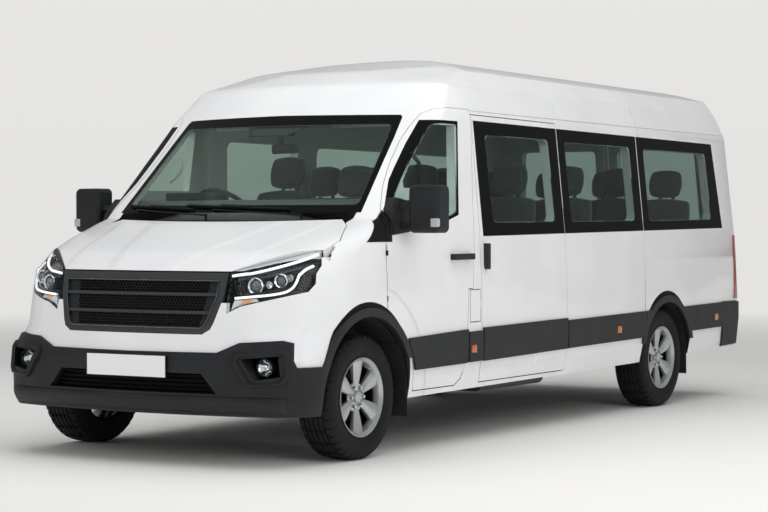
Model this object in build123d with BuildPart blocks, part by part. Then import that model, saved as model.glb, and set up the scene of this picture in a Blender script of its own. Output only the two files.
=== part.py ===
from build123d import *
import math
import os

os.makedirs("parts", exist_ok=True)

# overall sizes, mm
length = 5900.0
wheelbase = 3810.0
front_overhang = 786.0
half_width = 1012.0  # centre plane to the widest line of the painted sides
front_axle_y = -length / 2 + front_overhang
bow_centre = 2900.0  # the nose is turned about a vertical line this far behind the front axle
shoulder_radius = 110.0
rear_corner_radius = 75.0

# walls and skins
wall = 60.0  # whole thickness of doors, sides and roof
panel = 26.0  # bonnet, wings and bumper skins
glass = 6.0
bumper_proud = 14.0  # the dark lower bumper stands this far outside the paint
belt_proud = bumper_proud  # the dark bands along the sides
seam = 0.4  # between fixed panels
groove = 4.0  # width of the visible line between fixed panels
door_gap = 5.5  # around every door and lid
pivot_gap = 0.3  # between a pin and its eye
seat_gap = 0.3  # between a part and what it rests on

# wheels and axles
tyre_radius = 334.0
tyre_width = 215.0
rim_radius = 203.0
wheel_x = 870.0  # centre plane to the middle of a tyre
front_arch = 430.0
rear_arch = 386.0
arch_trim = 48.0
wheel_z = tyre_radius
wheel_side = 560.0  # the front wheels turn outboard of this
well_top = wheel_z + front_arch + 12

# side doors and windows, as heights and distances behind the front axle
door_hinge = 195.0
sill_front = 338.0
belt_low = 452.0  # dark band along the sides
floor_top = 600.0
floor_thick = 44.0
bulkhead_y = (100.0, 140.0)
post_rear = door_hinge - 4.7
split_rear_pillar = 2310.0
split_last = 3462.0

# centre line of the nose, windscreen and roof front: behind the front axle, height, rounding
nose_line = [
    (-690, 180, 0),
    (-735, 290, 30),
    (-771, 350, 40),
    (-765, 560, 60),
    (-735, 690, 120),
    (-668, 1000, 40),
    (-640, 1030, 60),
    (-480, 1110, 500),
    (50, 1285, 40),
    (665, 1885, 150),
    (850, 2060, 250),
    (1120, 2160, 500),
    (1700, 2255, 900),
    (2300, 2320, 0),
]

# one side of the cross-section: inside the widest line, height at the nose, height at the tail
section_rows = [
    (52, 150, 150),
    (27, 300, 330),
    (0, 450, 450),
    (0, 965, 970),
    (9, 1010, 1015),
    (12, 1180, 1190),
    (59, 1870, 1835),
    (72, 1920, 1885),
    (128, 2062, 2025),
    (140, 2068, 2031),
    (200, 2170, 2125),
]
crown_heights = (2302, 2245)  # middle of the roof at the nose end and at the tail end

# corner rounding seen from above: height, front corner radius, tail behind the front axle
corner_rows = [
    (140, 260, 5066),
    (330, 270, 5084),
    (560, 300, 5091),
    (700, 480, 5091),
    (1000, 460, 5074),
    (1110, 360, 5065),
    (1180, 240, 5060),
    (1285, 135, 5050),
    (1870, 110, 4985),
    (2060, 120, 4928),
    (2190, 150, 4895),
    (2420, 150, 4850),
]
roof_turn = 2190.0  # above this height the front corners no longer lean back


def behind(distance):
    return front_axle_y + distance


def inset_path(points, inset):
    """an open path moved sideways by inset, to its right, with sharp corners"""
    moved = []
    for i, here in enumerate(points):
        before = points[max(i - 1, 0)]
        after = points[min(i + 1, len(points) - 1)]
        ends = [(before, here), (here, after)]
        normals = []
        for a, b in ends:
            run = math.hypot(b[0] - a[0], b[1] - a[1])
            if run > 0:
                normals.append(((b[1] - a[1]) / run, -(b[0] - a[0]) / run))
        nx = sum(n[0] for n in normals) / len(normals)
        nz = sum(n[1] for n in normals) / len(normals)
        stretch = inset / (nx * nx + nz * nz)
        moved.append((here[0] + nx * stretch, here[1] + nz * stretch))
    return moved


def nose_points(inset):
    return inset_path([(row[0], row[1]) for row in nose_line], inset)


def section_points(column, inset):
    outer = [(half_width - row[0], row[column]) for row in section_rows]
    return inset_path(outer, -inset)


def at_height(points, height):
    """the first coordinate of a rising path at this height, run on past its ends"""
    a, b = points[:2] if height < points[0][1] else points[-2:]
    for low, high in zip(points, points[1:]):
        if low[1] <= height <= high[1]:
            a, b = low, high
    return a[0] + (b[0] - a[0]) * (height - a[1]) / (b[1] - a[1])


def body_volume(inset):
    """the closed outer form of the body, moved inwards by inset"""
    with BuildPart() as sides:
        for column, end in ((1, -1), (2, 1)):
            points = section_points(column, inset)
            top = points[-1]
            with BuildSketch(Plane.XZ.offset(-end * (length / 2 + 100))) as section:
                with BuildLine():
                    Polyline(*points)
                    ThreePointArc(top, (0, crown_heights[column - 1] - inset), (-top[0], top[1]))
                    Polyline(*[(-x, z) for x, z in reversed(points)])
                    Line((-points[0][0], points[0][1]), points[0])
                make_face()
                corners = [v for v in section.vertices() if abs(v.Z - top[1]) < 0.01]
                fillet(corners, shoulder_radius - inset)
        loft(ruled=True)
    with BuildPart() as nose:
        points = nose_points(inset)
        radii = [max(row[2] - inset, 8) for row in nose_line[1:-1]]
        with BuildSketch(Plane.YZ):
            with BuildLine():
                line = [(behind(y), z) for y, z in points]
                FilletPolyline(*line, radius=radii)
                axis_top = (behind(bow_centre), line[-1][1] + 200)
                Polyline(line[-1], axis_top, (behind(bow_centre), line[0][1] - 30), (line[0][0], line[0][1] - 30), line[0])
            make_face()
        revolve(axis=Axis((0, behind(bow_centre), 0), (0, 0, 1)))
        with BuildSketch(Plane.XY.offset(line[0][1] - 30)):
            with Locations((0, behind(bow_centre) + length / 2)):
                Rectangle(3 * half_width, length)
        extrude(amount=axis_top[1] - line[0][1] + 30)
    with BuildPart() as plan:
        clear = 2.5
        for height, radius, tail in corner_rows:
            side = at_height(section_points(1, inset), height) + clear
            bow = bow_centre - at_height(nose_points(inset), min(height, roof_turn - inset))
            touch = side - 0.62 * radius
            slope = touch / math.sqrt(bow**2 - touch**2)
            front = bow_centre - math.sqrt(bow**2 - touch**2) - slope * touch - clear
            corner = (side, behind(front + slope * side))
            rear = behind(tail - inset)
            flank = [(side, behind(1900)), (side + 60, behind(2000)), (side + 60, behind(4500)), (side, behind(4600))]
            half = [corner, *flank, (side, rear)]
            with BuildSketch(Plane.XY.offset(height)) as outline:
                with BuildLine():
                    Polyline((0, behind(front)), *half, *[(-x, y) for x, y in reversed(half)], close=True)
                make_face()
                fronts = [v for v in outline.vertices() if abs(v.Y - corner[1]) < 0.01]
                fillet(fronts, radius - inset)
                rears = [v for v in outline.vertices() if abs(v.Y - rear) < 0.01]
                fillet(rears, rear_corner_radius - inset)
        loft(ruled=True)
    return sides.part & nose.part & plan.part


def side_prism(points, x_low, x_high, rounding=0.0, inset=0.0):
    """a side-view outline, behind the front axle and height, run across the vehicle"""
    with BuildPart() as prism:
        with BuildSketch(Plane.YZ.offset(x_low)) as outline:
            with BuildLine():
                Polyline(*[(behind(y), z) for y, z in points], close=True)
            make_face()
            if rounding:
                fillet(outline.vertices(), rounding)
            if inset:
                offset(amount=-inset, kind=Kind.INTERSECTION)
        extrude(amount=x_high - x_low)
    return prism.part


def front_prism(points, y_low, y_high, rounding=0.0, inset=0.0):
    """a front-view outline, x and height, run along the vehicle"""
    with BuildPart() as prism:
        with BuildSketch(Plane.XZ.offset(-behind(y_low))) as outline:
            with BuildLine():
                Polyline(*points, close=True)
            make_face()
            if rounding:
                fillet(outline.vertices(), rounding)
            if inset:
                offset(amount=-inset, kind=Kind.INTERSECTION)
        extrude(amount=y_low - y_high)
    return prism.part


def top_prism(points, z_low, z_high, inset=0.0):
    """an outline seen from above, x and distance behind the front axle, run upwards"""
    with BuildPart() as prism:
        with BuildSketch(Plane.XY.offset(z_low)):
            with BuildLine():
                Polyline(*[(x, behind(y)) for x, y in points], close=True)
            make_face()
            if inset:
                offset(amount=-inset, kind=Kind.INTERSECTION)
        extrude(amount=z_high - z_low)
    return prism.part


def block(x, y, z):
    """a box between pairs of limits, y behind the front axle"""
    with BuildPart() as box:
        with BuildSketch(Plane.XY.offset(z[0])):
            with Locations(((x[0] + x[1]) / 2, behind((y[0] + y[1]) / 2))):
                Rectangle(x[1] - x[0], y[1] - y[0])
        extrude(amount=z[1] - z[0])
    return box.part


def rod(start, end, radius):
    """a round bar between two points, y behind the front axle"""
    a = Vector(start[0], behind(start[1]), start[2])
    b = Vector(end[0], behind(end[1]), end[2])
    with BuildPart() as bar:
        with BuildSketch(Plane(origin=a, z_dir=b - a)):
            Circle(radius)
        extrude(amount=(b - a).length)
    return bar.part


def across(part):
    """the same part on the other side of the vehicle"""
    return mirror(part, about=Plane.YZ)


def write(part, name):
    part.label = name
    export_step(part, f"parts/{name}.step")


# nested forms of the body
skin = body_volume(0)
glass_line = body_volume(glass)
panel_line = body_volume(panel)
cabin = body_volume(wall)
wall_band = skin - cabin
panel_band = skin - panel_line
glass_band = skin - glass_line

# outlines seen from the front: half width and height
windscreen_outline = [(832, 1318), (812, 1462), (792, 1605), (775, 1737), (755, 1858), (740, 1874), (0, 1882)]
windscreen_outline += [(-x, z) for x, z in reversed(windscreen_outline[:-1])]
pillar_foot = [(930, 1150), (985, 1240), (928, 1331)]
pillar_edge = [(928, 1331), (868, 1462), (833, 1591), (816, 1723), (823, 1806), (845, 1880), (890, 1904), (935, 1914)]
window_edge = [(935, 1180), (950, 1310), (922, 1386), (878, 1497), (868, 1570), (854, 1707), (852, 1860)]
headlamp_outline = [(556, 1010), (907, 1121), (943, 1042), (946, 948), (927, 907), (845, 883), (749, 858), (640, 832)]
headlamp_outline += [(567, 795)]
grille_outline = [(551, 1005), (540, 880), (500, 745), (484, 712), (440, 686)]
grille_outline += [(-x, z) for x, z in reversed(grille_outline)]
bumper_edge = [(0, 593), (547, 596), (669, 649), (868, 661), (912, 648), (948, 524), (1200, 524)]
intake_outline = [(466, 487), (556, 384), (-556, 384), (-466, 487)]
fog_outline = [(691, 567), (882, 584), (892, 478), (762, 459)]
plate_z = 518.0
plate_size = (520.0, 111.0)

# outlines seen from the side: behind the front axle and height
door_front = door_hinge + 3.6
door_low_front = 400.0
arch_gap = front_arch + arch_trim + door_gap
door_outline = [
    (door_front, 1914),
    (1202, 1914),
    (1164, 1391),
    (1154, 1100),
    (1127, 884),
    (1076, 884),
    (1053, 589),
    (1043, 450),
    (1000, 375),
    (940, sill_front),
    (door_low_front, sill_front),
    (door_low_front, 560),
    (door_front, 560),
]
door_window = [(252, 1206), (300, 1212), (715, 1233), (995, 1305), (1046, 1842), (700, 1842), (252, 1842)]
door_pane_inset = 26.0
slide_front = 1235.0
slide_outline = [
    (1206, 1884),
    (slide_front, 960),
    (1226, sill_front),
    (2288, sill_front + 4),
    (split_rear_pillar, 620),
    (split_rear_pillar, 1180),
    (2262, 1870),
]
flap_outline = [(1096, 692), (1208, 692), (1211, 872), (1098, 872)]
band_bottom = [(1262, 1181), (4818, 1213)]
band_top = [(1222, 1853), (4689, 1815)]
pane_gap = 8.0
pane_splits = [1262, split_rear_pillar, split_last, 4800]
window_rows = [  # clear glass: bottom front, bottom rear, top rear, top front
    [(1400, 1262), (2190, 1264), (2148, 1768), (1352, 1772)],
    [(2410, 1265), (3345, 1268), (3312, 1755), (2372, 1760)],
    [(3560, 1268), (4610, 1275), (4562, 1742), (3528, 1748)],
]
window_rounding = 55.0
sill_line = [(-900, 290), (3300, 322), (5300, 362)]
gutter = [(900, 2065), (5300, 2024)]
roof_split = [(1206, 1918), (1372, 2200), (1400, 2500)]


def on_line(points, distance):
    """height of a side-view line at a distance behind the front axle"""
    a, b = points[-2:]
    for low, high in zip(points, points[1:]):
        if low[0] <= distance <= high[0]:
            a, b = low, high
    return a[1] + (b[1] - a[1]) * (distance - a[0]) / (b[0] - a[0])


def pane_outline(index):
    """dark edge of one side pane"""
    front, rear = pane_splits[index], pane_splits[index + 1]
    lean = 42.0
    front += pane_gap / 2
    rear -= pane_gap / 2
    return [
        (front, on_line(band_bottom, front)),
        (rear, on_line(band_bottom, rear)),
        (rear - lean * (2.6 if index == 2 else 1.0), on_line(band_top, rear)),
        (front - lean, on_line(band_top, front)),
    ]


# cutters used by several panels
far = half_width + 200
front_wheel_space = rod((far, 0, wheel_z), (620, 0, wheel_z), front_arch)
rear_wheel_space = rod((far, wheelbase, wheel_z), (620, wheelbase, wheel_z), rear_arch)
below_sill = side_prism([(-1000, 0), (-1000, sill_line[0][1]), *sill_line, (5300, 0)], -far, far)


def door_cut(band, growth):
    """what the left front door, grown by the gap around it, takes out of a band"""
    edge = [(x - growth, z) for x, z in pillar_edge]
    foot = [(x - growth, z) for x, z in pillar_foot]
    pillar = front_prism([(600, edge[0][1]), *edge, (edge[-1][0], 2000), (600, 2000)], 0, 1500)
    corner = front_prism([(600, foot[0][1]), *foot, (600, foot[-1][1])], 0, 360)
    arch = rod((far + 1, 0, wheel_z), (650, 0, wheel_z), arch_gap - growth)
    return (band & side_prism(door_outline, 700, far, inset=-growth)) - pillar - corner - arch


def window_form(growth):
    """space of the left front door's dark window surround"""
    edge = [(x - growth, z) for x, z in window_edge]
    upper = [point for point in edge if point[1] > 1380]
    low_corner = front_prism([(600, edge[0][1]), *edge, (600, edge[-1][1])], 0, 420)
    high_corner = front_prism([(600, upper[0][1]), *upper, (600, upper[-1][1])], 0, 1500)
    return side_prism(door_window, 700, far, inset=-growth) - low_corner - high_corner


door_space = door_cut(block((690, far), (0, 1500), (0, 2100)), door_gap)
slide_space = side_prism(slide_outline, 700, far, inset=-door_gap)
windscreen_space = front_prism(windscreen_outline, -100, 1100)
wing_top = 1318.0
wing_rear = door_hinge - 4.6
front_region = [(-1000, 100), (-1000, wing_top), (wing_rear, wing_top), (wing_rear, 1150), (door_front, 1150)]
front_region += [(door_front, 800), (door_low_front, 800), (door_low_front, 100)]
front_space = side_prism(front_region, -far, far)
roof_front_space = side_prism([(200, 1884), (700, 1884), (870, 1918), *roof_split, (200, 2500)], -far, far)
roof_top_space = side_prism([*gutter, (5300, 2500), (900, 2500)], -far, far)
rear_door_edge = 866.0
rear_door_low = 700.0
rear_door_high = 1905.0
rear_door_taper = 52.0  # each side narrows by this from bottom to top
rear_side_gap = 8.0
rear_opening = [
    (-rear_door_edge - rear_side_gap, rear_door_low - door_gap),
    (rear_door_edge + rear_side_gap, rear_door_low - door_gap),
    (rear_door_edge + rear_side_gap - rear_door_taper, rear_door_high + door_gap),
    (-rear_door_edge - rear_side_gap + rear_door_taper, rear_door_high + door_gap),
]
rear_space = front_prism(rear_opening, 4700, 5300)


def seams(sections):
    """shallow lines pressed into the paint: side-view centre lines"""
    lines = []
    for a, b in sections:
        run = Vector(b[0] - a[0], b[1] - a[1]).normalized()
        nx, nz = -run.Y * groove / 2, run.X * groove / 2
        outline = [(a[0] - nx, a[1] - nz), (b[0] - nx, b[1] - nz), (b[0] + nx, b[1] + nz), (a[0] + nx, a[1] + nz)]
        lines.append(side_prism(outline, -far, far))
    return lines[0] + lines[1:]


# panes along the side, three a side, and the clear part of each
side_panes = []
clear_windows = []
for index in range(3):
    side_panes.append(side_prism(pane_outline(index), 700, far))
    clear_windows.append(side_prism(window_rows[index], 700, far, rounding=window_rounding))

seam_rows = [
    ((split_rear_pillar, 330), (split_rear_pillar, 2030)),
    ((split_last, 330), (split_last, 2030)),
    ((1206, 1908), (4960, 1880)),
]
side_seams = seams(seam_rows) & glass_band
left_half = block((0, far), (0, 5300), (200, 2500))
flap_pocket = side_prism(flap_outline, half_width - 40, far, inset=-door_gap)
fixed_glass = {}
for side in ("left", "right"):
    for index in range(3):
        pane = side_panes[index] & glass_band
        fixed_glass[side, index] = pane if side == "left" else across(pane)


def body_side(side):
    """one welded side of the body: pillars, sill, rails and outer panels"""
    shell = wall_band & left_half
    cutters = [below_sill, front_space, door_space, windscreen_space, roof_front_space, roof_top_space]
    cutters += [rear_space, front_wheel_space, rear_wheel_space, side_seams]
    if side == "left":
        cutters += [slide_space, flap_pocket]
    for index in range(3):
        if side == "right" or index:
            cutters += [clear_windows[index], fixed_glass["left", index]]
    with BuildPart() as result:
        add(shell)
        for cutter in cutters:
            add(cutter, mode=Mode.SUBTRACT)
    return result.part if side == "left" else across(result.part)


left_body = body_side("left")
right_body = body_side("right")

with BuildPart() as roof_front:
    add(wall_band)
    add(roof_front_space, mode=Mode.INTERSECT)
    add(windscreen_space, mode=Mode.SUBTRACT)
write(roof_front.part, "roof_front")

with BuildPart() as roof_rear:
    add(wall_band)
    add(roof_top_space, mode=Mode.INTERSECT)
    add(roof_front_space, mode=Mode.SUBTRACT)
write(roof_rear.part, "roof_rear")


# panels ahead of the doors
bonnet_front = 1012.0
bonnet_pivot = (125.0, 1250.0)  # behind the front axle, height
with BuildPart() as bonnet_form:
    with BuildSketch(Plane.XY.offset(900)):
        with BuildLine():
            edge = [(757, 137), (833, 60), (919, -138), (909, -269), (558, -606), (558, -850)]
            right = [(x, behind(y)) for x, y in edge]
            Polyline(*right)
            Line(right[-1], (-right[-1][0], right[-1][1]))
            Polyline(*[(-x, y) for x, y in reversed(right)])
            ThreePointArc((-right[0][0], right[0][1]), (0, behind(0)), right[0])
        make_face()
    extrude(amount=500)
bonnet_space = offset(bonnet_form.part, amount=door_gap, kind=Kind.INTERSECTION)
above_grille = block((-far, far), (-1000, 400), (bonnet_front, 1500))
grille_space = front_prism(grille_outline, -900, -400)
headlamp_space = front_prism(headlamp_outline, -900, -200)
wing_cut = [(-1000, 1400), (-1000, 912), (-452, 912), (-270, 700), (-270, 100), (door_low_front, 100)]
wing_cut += [(door_low_front, 800), (wing_rear, 800), (wing_rear, wing_top), (-100, wing_top)]
wing_space = side_prism(wing_cut, 60, far)
cowl_space = top_prism([(0, -60), (0, 300), (800, 300), (800, 95), (700, -60)], 1000, 1500)

with BuildPart() as bonnet:
    add(panel_band)
    add(bonnet_form.part, mode=Mode.INTERSECT)
    add(above_grille, mode=Mode.INTERSECT)
bonnet_skin = bonnet.part

lamp_top_gap = front_prism([(540, 1000), (540, 1040), (930, 1160), (960, 1060), (900, 1100)], -900, -200)
left_wing = (panel_band & wing_space) - bonnet_space - headlamp_space - door_space - front_wheel_space
left_wing = left_wing - cowl_space - windscreen_space - lamp_top_gap - below_sill
right_wing = across(left_wing)
with BuildPart() as front_wings:
    add(left_wing)
    add(right_wing)
write(front_wings.part, "front_wings")

with BuildPart() as windscreen:
    add(glass_band)
    add(windscreen_space, mode=Mode.INTERSECT)
write(windscreen.part, "windscreen")

# painted bumper, dark lower bumper and what sits in them
upper_outline = [(x, z + seam) for x, z in bumper_edge] + [(1200, 1100), (0, 1100)]
wing_side = [(-1000, 500), (-1000, 1100), (-452 - seam, 912 - seam), (-270 - seam, 700), (-270, 500)]
left_bumper = panel_band & side_prism(wing_side, 0, far) & front_prism(upper_outline, -1000, -200)
left_bumper = left_bumper - front_wheel_space - headlamp_space - grille_space
left_bumper = left_bumper - block((0, 660), (-900, -300), (850, 1100))
right_bumper = across(left_bumper)
with BuildPart() as front_bumper:
    add(left_bumper)
    add(right_bumper)
write(front_bumper.part, "front_bumper")

bumper_line = body_volume(-bumper_proud)
dark_band = bumper_line - panel_line
bumper_low = 268.0
lower_outline = [(0, bumper_low), *bumper_edge, (1200, bumper_low)]
fog_space = front_prism(fog_outline, -900, -560)
left_dark = dark_band & front_prism(lower_outline, -1000, -200) & block((0, far), (-1000, -300), (100, 700))
left_dark = left_dark - fog_space - front_wheel_space
fog_box = block((660, 905), (-705, -560), (440, 600)) & panel_line
fog_box = fog_box - front_prism(fog_outline, -900, -575)
left_dark = left_dark + fog_box
right_dark = across(left_dark)
intake_space = front_prism(intake_outline, -900, -600)
plate_bracket = block((-200, 200), (-front_overhang + 3.2, -745), (plate_z - 46, plate_z + 46))
with BuildPart() as lower_bumper:
    add(left_dark)
    add(right_dark)
    add(intake_space, mode=Mode.SUBTRACT)
    add(plate_bracket)
write(lower_bumper.part, "lower_bumper")

# grille: frame, bars and a backing plate, and the bars of the lower intake
grille_frame = 38.0
grille_bays = [(712, 790), (806, 884), (900, 960)]
backing_depth = 5.0
bay_forms = []
inner_grille = front_prism(grille_outline, -900, -400, inset=grille_frame)
for low, high in grille_bays:
    bay_forms.append(inner_grille & block((-far, far), (-900, -400), (low, high)))
backing = (panel_line - body_volume(panel + backing_depth)) & front_prism(grille_outline, -900, -400, inset=8)
behind_intake = body_volume(panel + 22)
intake_bars = []
for z in (402, 425, 448, 471):
    half = 562 - (z - 384) * 0.87
    bar = block((-half, half), (-760, -600), (z - 4, z + 4))
    intake_bars.append((bar & panel_line) - behind_intake)
intake_form = front_prism(intake_outline, -900, -640, inset=-6)
intake_back = (intake_form & behind_intake) - block((-far, far), (-655, 0), (0, 900))
with BuildPart() as grille:
    add(panel_band)
    add(grille_space, mode=Mode.INTERSECT)
    for bay in bay_forms:
        add(bay, mode=Mode.SUBTRACT)
    add(backing)
for bar in intake_bars:
    intake_back = intake_back + bar
write(grille.part + intake_back, "grille")

# lamps and plates
left_lamp = (panel_band & front_prism(headlamp_outline, -900, -200, inset=1.0)) - bonnet_space
right_lamp = across(left_lamp)
fog_x = 792.0
fog_z = 522.0
fog_lamp = rod((fog_x, -605, fog_z), (fog_x, -575 - seat_gap, fog_z), 36)
with BuildPart() as front_lamps:
    add(left_lamp)
    add(right_lamp)
    add(fog_lamp)
    add(across(fog_lamp))
write(front_lamps.part, "front_lamps")

plate_half = plate_size[0] / 2
front_plate_y = -front_overhang
rear_plate_y = 5108.5
rear_bumper_rear = 5105.0
plate_boxes = [
    block((-plate_half, plate_half), (front_plate_y, front_plate_y + 3), (plate_z - 55.5, plate_z + 55.5)),
    block((-plate_half, plate_half), (rear_bumper_rear + 0.2, rear_plate_y), (plate_z - 55.5, plate_z + 55.5)),
]
with BuildPart() as number_plates:
    for plate in plate_boxes:
        add(plate)
write(number_plates.part, "number_plates")

# bulkhead with the cowl trough, hinge posts and bonnet hinge brackets
trough_top = 1216.0
trough_rear = 200.0
trough = [(100, 1150), (100, 1205), (60, 1210), (60, trough_top), (150, trough_top), (trough_rear, 1262)]
trough.append((trough_rear, 1150))
panel_parts = [
    block((-880, 880), bulkhead_y, (well_top, 1215)),
    block((-wheel_side, wheel_side), bulkhead_y, (floor_top - floor_thick, well_top)),
    side_prism(trough, -880, 880) & cabin,
]
for sign in (-1, 1):
    x_pair = sorted((sign * 878, sign * (half_width - panel - 8)))
    panel_parts.append(block(x_pair, (bulkhead_y[0], post_rear), (well_top, 1195)) & panel_line)


def hinge(axis_point, axis_dir, radius, pin_radius, fixed_length, moving_length):
    """fixed knuckle with its pin, and the moving knuckle with its bore, along one axis"""
    start = Vector(*axis_point)
    along = Vector(*axis_dir).normalized()
    seat = start + along * (fixed_length + seat_gap)
    with BuildPart() as fixed:
        with BuildSketch(Plane(origin=start, z_dir=along)):
            Circle(radius)
        extrude(amount=fixed_length)
        with BuildSketch(Plane(origin=start, z_dir=along)):
            Circle(pin_radius)
        extrude(amount=fixed_length + seat_gap + moving_length * 0.8)
    with BuildPart() as moving:
        with BuildSketch(Plane(origin=seat, z_dir=along)):
            Circle(radius)
            Circle(pin_radius + pivot_gap, mode=Mode.SUBTRACT)
        extrude(amount=moving_length)
    return fixed.part, moving.part


# side door hinges
door_hinge_y = behind(door_hinge)
door_hinge_x = half_width
leaf_x = (955.0, half_width + 1)
fixed_leaves = []
moving_knuckles = []
for height in (840, 1085):
    fixed, moving = hinge((door_hinge_x, door_hinge_y, height), (0, 0, 1), 3.2, 1.6, 28, 28)
    leaf = block(leaf_x, (post_rear + 0.4, door_hinge - 2.4), (height, height + 28))
    leaf = leaf + block((leaf_x[0], 968), (post_rear - 4, door_hinge - 2.4), (height, height + 28))
    fixed_leaves.append(fixed + leaf)
    moving = moving + rod((door_hinge_x, door_hinge, height + 28.3), (door_hinge_x, door_hinge, height + 56.3), 3.9)
    moving = moving - rod((door_hinge_x, door_hinge, height + 28), (door_hinge_x, door_hinge, height + 57), 1.9)
    bridge = block((half_width - 12, half_width), (door_hinge + 2.2, door_front + 3), (height + 28.3, height + 56.3))
    moving_knuckles.append(moving + bridge)
bonnet_hinges = []
for sign in (-1, 1):
    for_x = sign * 620
    fixed, moving = hinge((for_x - 20, behind(bonnet_pivot[0]), bonnet_pivot[1]), (1, 0, 0), 8, 4, 18, 22)
    bracket = block((for_x - 20, for_x - 2), (bonnet_pivot[0] - 6, bonnet_pivot[0] + 6), (1214, bonnet_pivot[1]))
    tongue = block((for_x - 1.7, for_x + 20.3), (60, bonnet_pivot[0]), (bonnet_pivot[1] - 5, bonnet_pivot[1] + 5))
    tongue = (tongue & panel_line) - rod((for_x - 30, *bonnet_pivot), (for_x + 30, *bonnet_pivot), 4 + pivot_gap)
    bonnet_hinges.append((fixed + bracket, moving + tongue))
    fixed_leaves.append(fixed + bracket)
right_leaves = [across(leaf) for leaf in fixed_leaves[:2]]
with BuildPart() as bulkhead:
    for piece in panel_parts + fixed_leaves + right_leaves:
        add(piece)
write(bulkhead.part, "bulkhead")

lugs = [
    block((sign * 620 - 1.7, sign * 620 + 20.3), (20, 80), (bonnet_pivot[1] - 22, 1300)) & panel_line for sign in (-1, 1)
]
write(bonnet_skin + [pair[1] for pair in bonnet_hinges] + lugs, "bonnet")

def glass_front(x, height):
    """how far behind the front axle the windscreen's outside lies"""
    bow = bow_centre - at_height(nose_points(0), height)
    return bow_centre - math.sqrt(bow**2 - x**2)


wiper_radius = 5.0
wiper_base = windscreen_outline[0][1]
wiper_parts = []
for pivot_x, tip_x in ((500.0, -80.0), (-120.0, -690.0)):
    spindle_y = glass_front(pivot_x, wiper_base) - 7
    arm = rod((pivot_x, spindle_y, trough_top + seat_gap), (pivot_x, spindle_y, wiper_base - 6), 8)
    steps = 5
    points = [(pivot_x, spindle_y, wiper_base - 12)]
    for step in range(1, steps + 1):
        x = pivot_x + (tip_x - pivot_x) * step / steps
        height = wiper_base - 12 + 30 * step / steps
        points.append((x, glass_front(x, height) - 1.43 * wiper_radius - 2, height))
    for a, b in zip(points, points[1:]):
        arm = arm + rod(a, b, wiper_radius)
    wiper_parts.append(arm)
with BuildPart() as wiper_set:
    for arm in wiper_parts:
        add(arm)
write(wiper_set.part, "wipers")


# doors: shell, glass, and trim with handle, band and mirror
window_space = window_form(0)
left_pane = glass_band & window_space
clear_window = window_form(-door_pane_inset)
band_front = door_low_front + door_gap
door_band_line = [(band_front, belt_low), (1051, belt_low + 6), (1060, 650), (band_front, 630)]
door_band = side_prism(door_band_line, half_width, half_width + belt_proud)
door_band = door_cut(door_band, -1.5)
handle_z = 1067.0
handle = block((990, half_width + 26), (884, 1105), (handle_z - 17, handle_z + 17))
handle_grip = handle - block((990, half_width + 8), (918, 1072), (handle_z - 20, handle_z + 20)) - skin
mirror_x = (1070.0, 1262.0)
mirror_y = (300.0, 420.0)
mirror_z = (1206.0, 1466.0)
with BuildPart() as mirror_shell:
    with BuildSketch(Plane.XZ.offset(-behind(mirror_y[0]))):
        with Locations((sum(mirror_x) / 2, sum(mirror_z) / 2)):
            RectangleRounded(mirror_x[1] - mirror_x[0], mirror_z[1] - mirror_z[0], 32)
    extrude(amount=mirror_y[0] - mirror_y[1])
    fillet(mirror_shell.faces().sort_by(Axis.Y)[0].edges(), 28)
mirror_arms = block((930, 1100), (330, 372), (1228, 1262)) + block((930, 1100), (330, 372), (1336, 1366))
mirror_base = side_prism([(260, 1196), (430, 1212), (420, 1380), (330, 1400), (262, 1330)], 900, 1040)
trim_band = bumper_line - skin
mirror_base = mirror_base & trim_band
left_mirror = mirror_shell.part + (mirror_arms - skin) + mirror_base
left_shell = (door_cut(wall_band, 0) - left_pane - clear_window) + moving_knuckles
for side in ("left", "right"):
    pieces = [left_shell, left_pane, left_mirror, door_band, handle_grip]
    if side == "right":
        pieces = [across(piece) for piece in pieces]
    shell, pane, mirror_piece, band_piece, grip = pieces
    write(shell, f"front_door_{side}")
    write(pane, f"front_door_glass_{side}")
    with BuildPart() as door_trim:
        add(mirror_piece)
        add(band_piece)
        add(grip)
    write(door_trim.part, f"door_trim_{side}")

# sliding door, held by its latch and rollers at the edges of its opening
slide_form = side_prism(slide_outline, 700, far)
latches = []
for y_pair, z in (((1205, 1260), 1120), ((1200, 1260), 700), ((2250, 2320), 1120), ((2250, 2320), 430)):
    latch = wall_band & block((half_width - 50, half_width - 16), y_pair, (z, z + 60))
    latches.append(latch & side_prism(slide_outline, 700, far, inset=-door_gap + seat_gap))
sliding = (wall_band & slide_form) - clear_windows[0] - fixed_glass["left", 0]
slide_handle = block((half_width - 20, half_width + 24), (1268, 1292), (990, 1140)) - skin
write(sliding + latches, "sliding_door")
slide_band = side_prism([(1232, 459), (2305, 475), (2305, 664), (1240, 652)], half_width, half_width + belt_proud)
slide_band = slide_band & side_prism(slide_outline, 700, far, inset=1.5)

with BuildPart() as side_glass:
    for piece in fixed_glass.values():
        add(piece)
write(side_glass.part, "side_glass")

# dark bands, wheel arch edges and sliding door furniture
def arch_ring(distance, radius, low):
    ring = trim_band & block((860, far), (distance - 560, distance + 560), (low, 900))
    ring = ring & rod((850, distance, wheel_z), (far + 5, distance, wheel_z), radius + arch_trim)
    return ring - rod((700, distance, wheel_z), (far + 15, distance, wheel_z), radius + seam)


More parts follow.
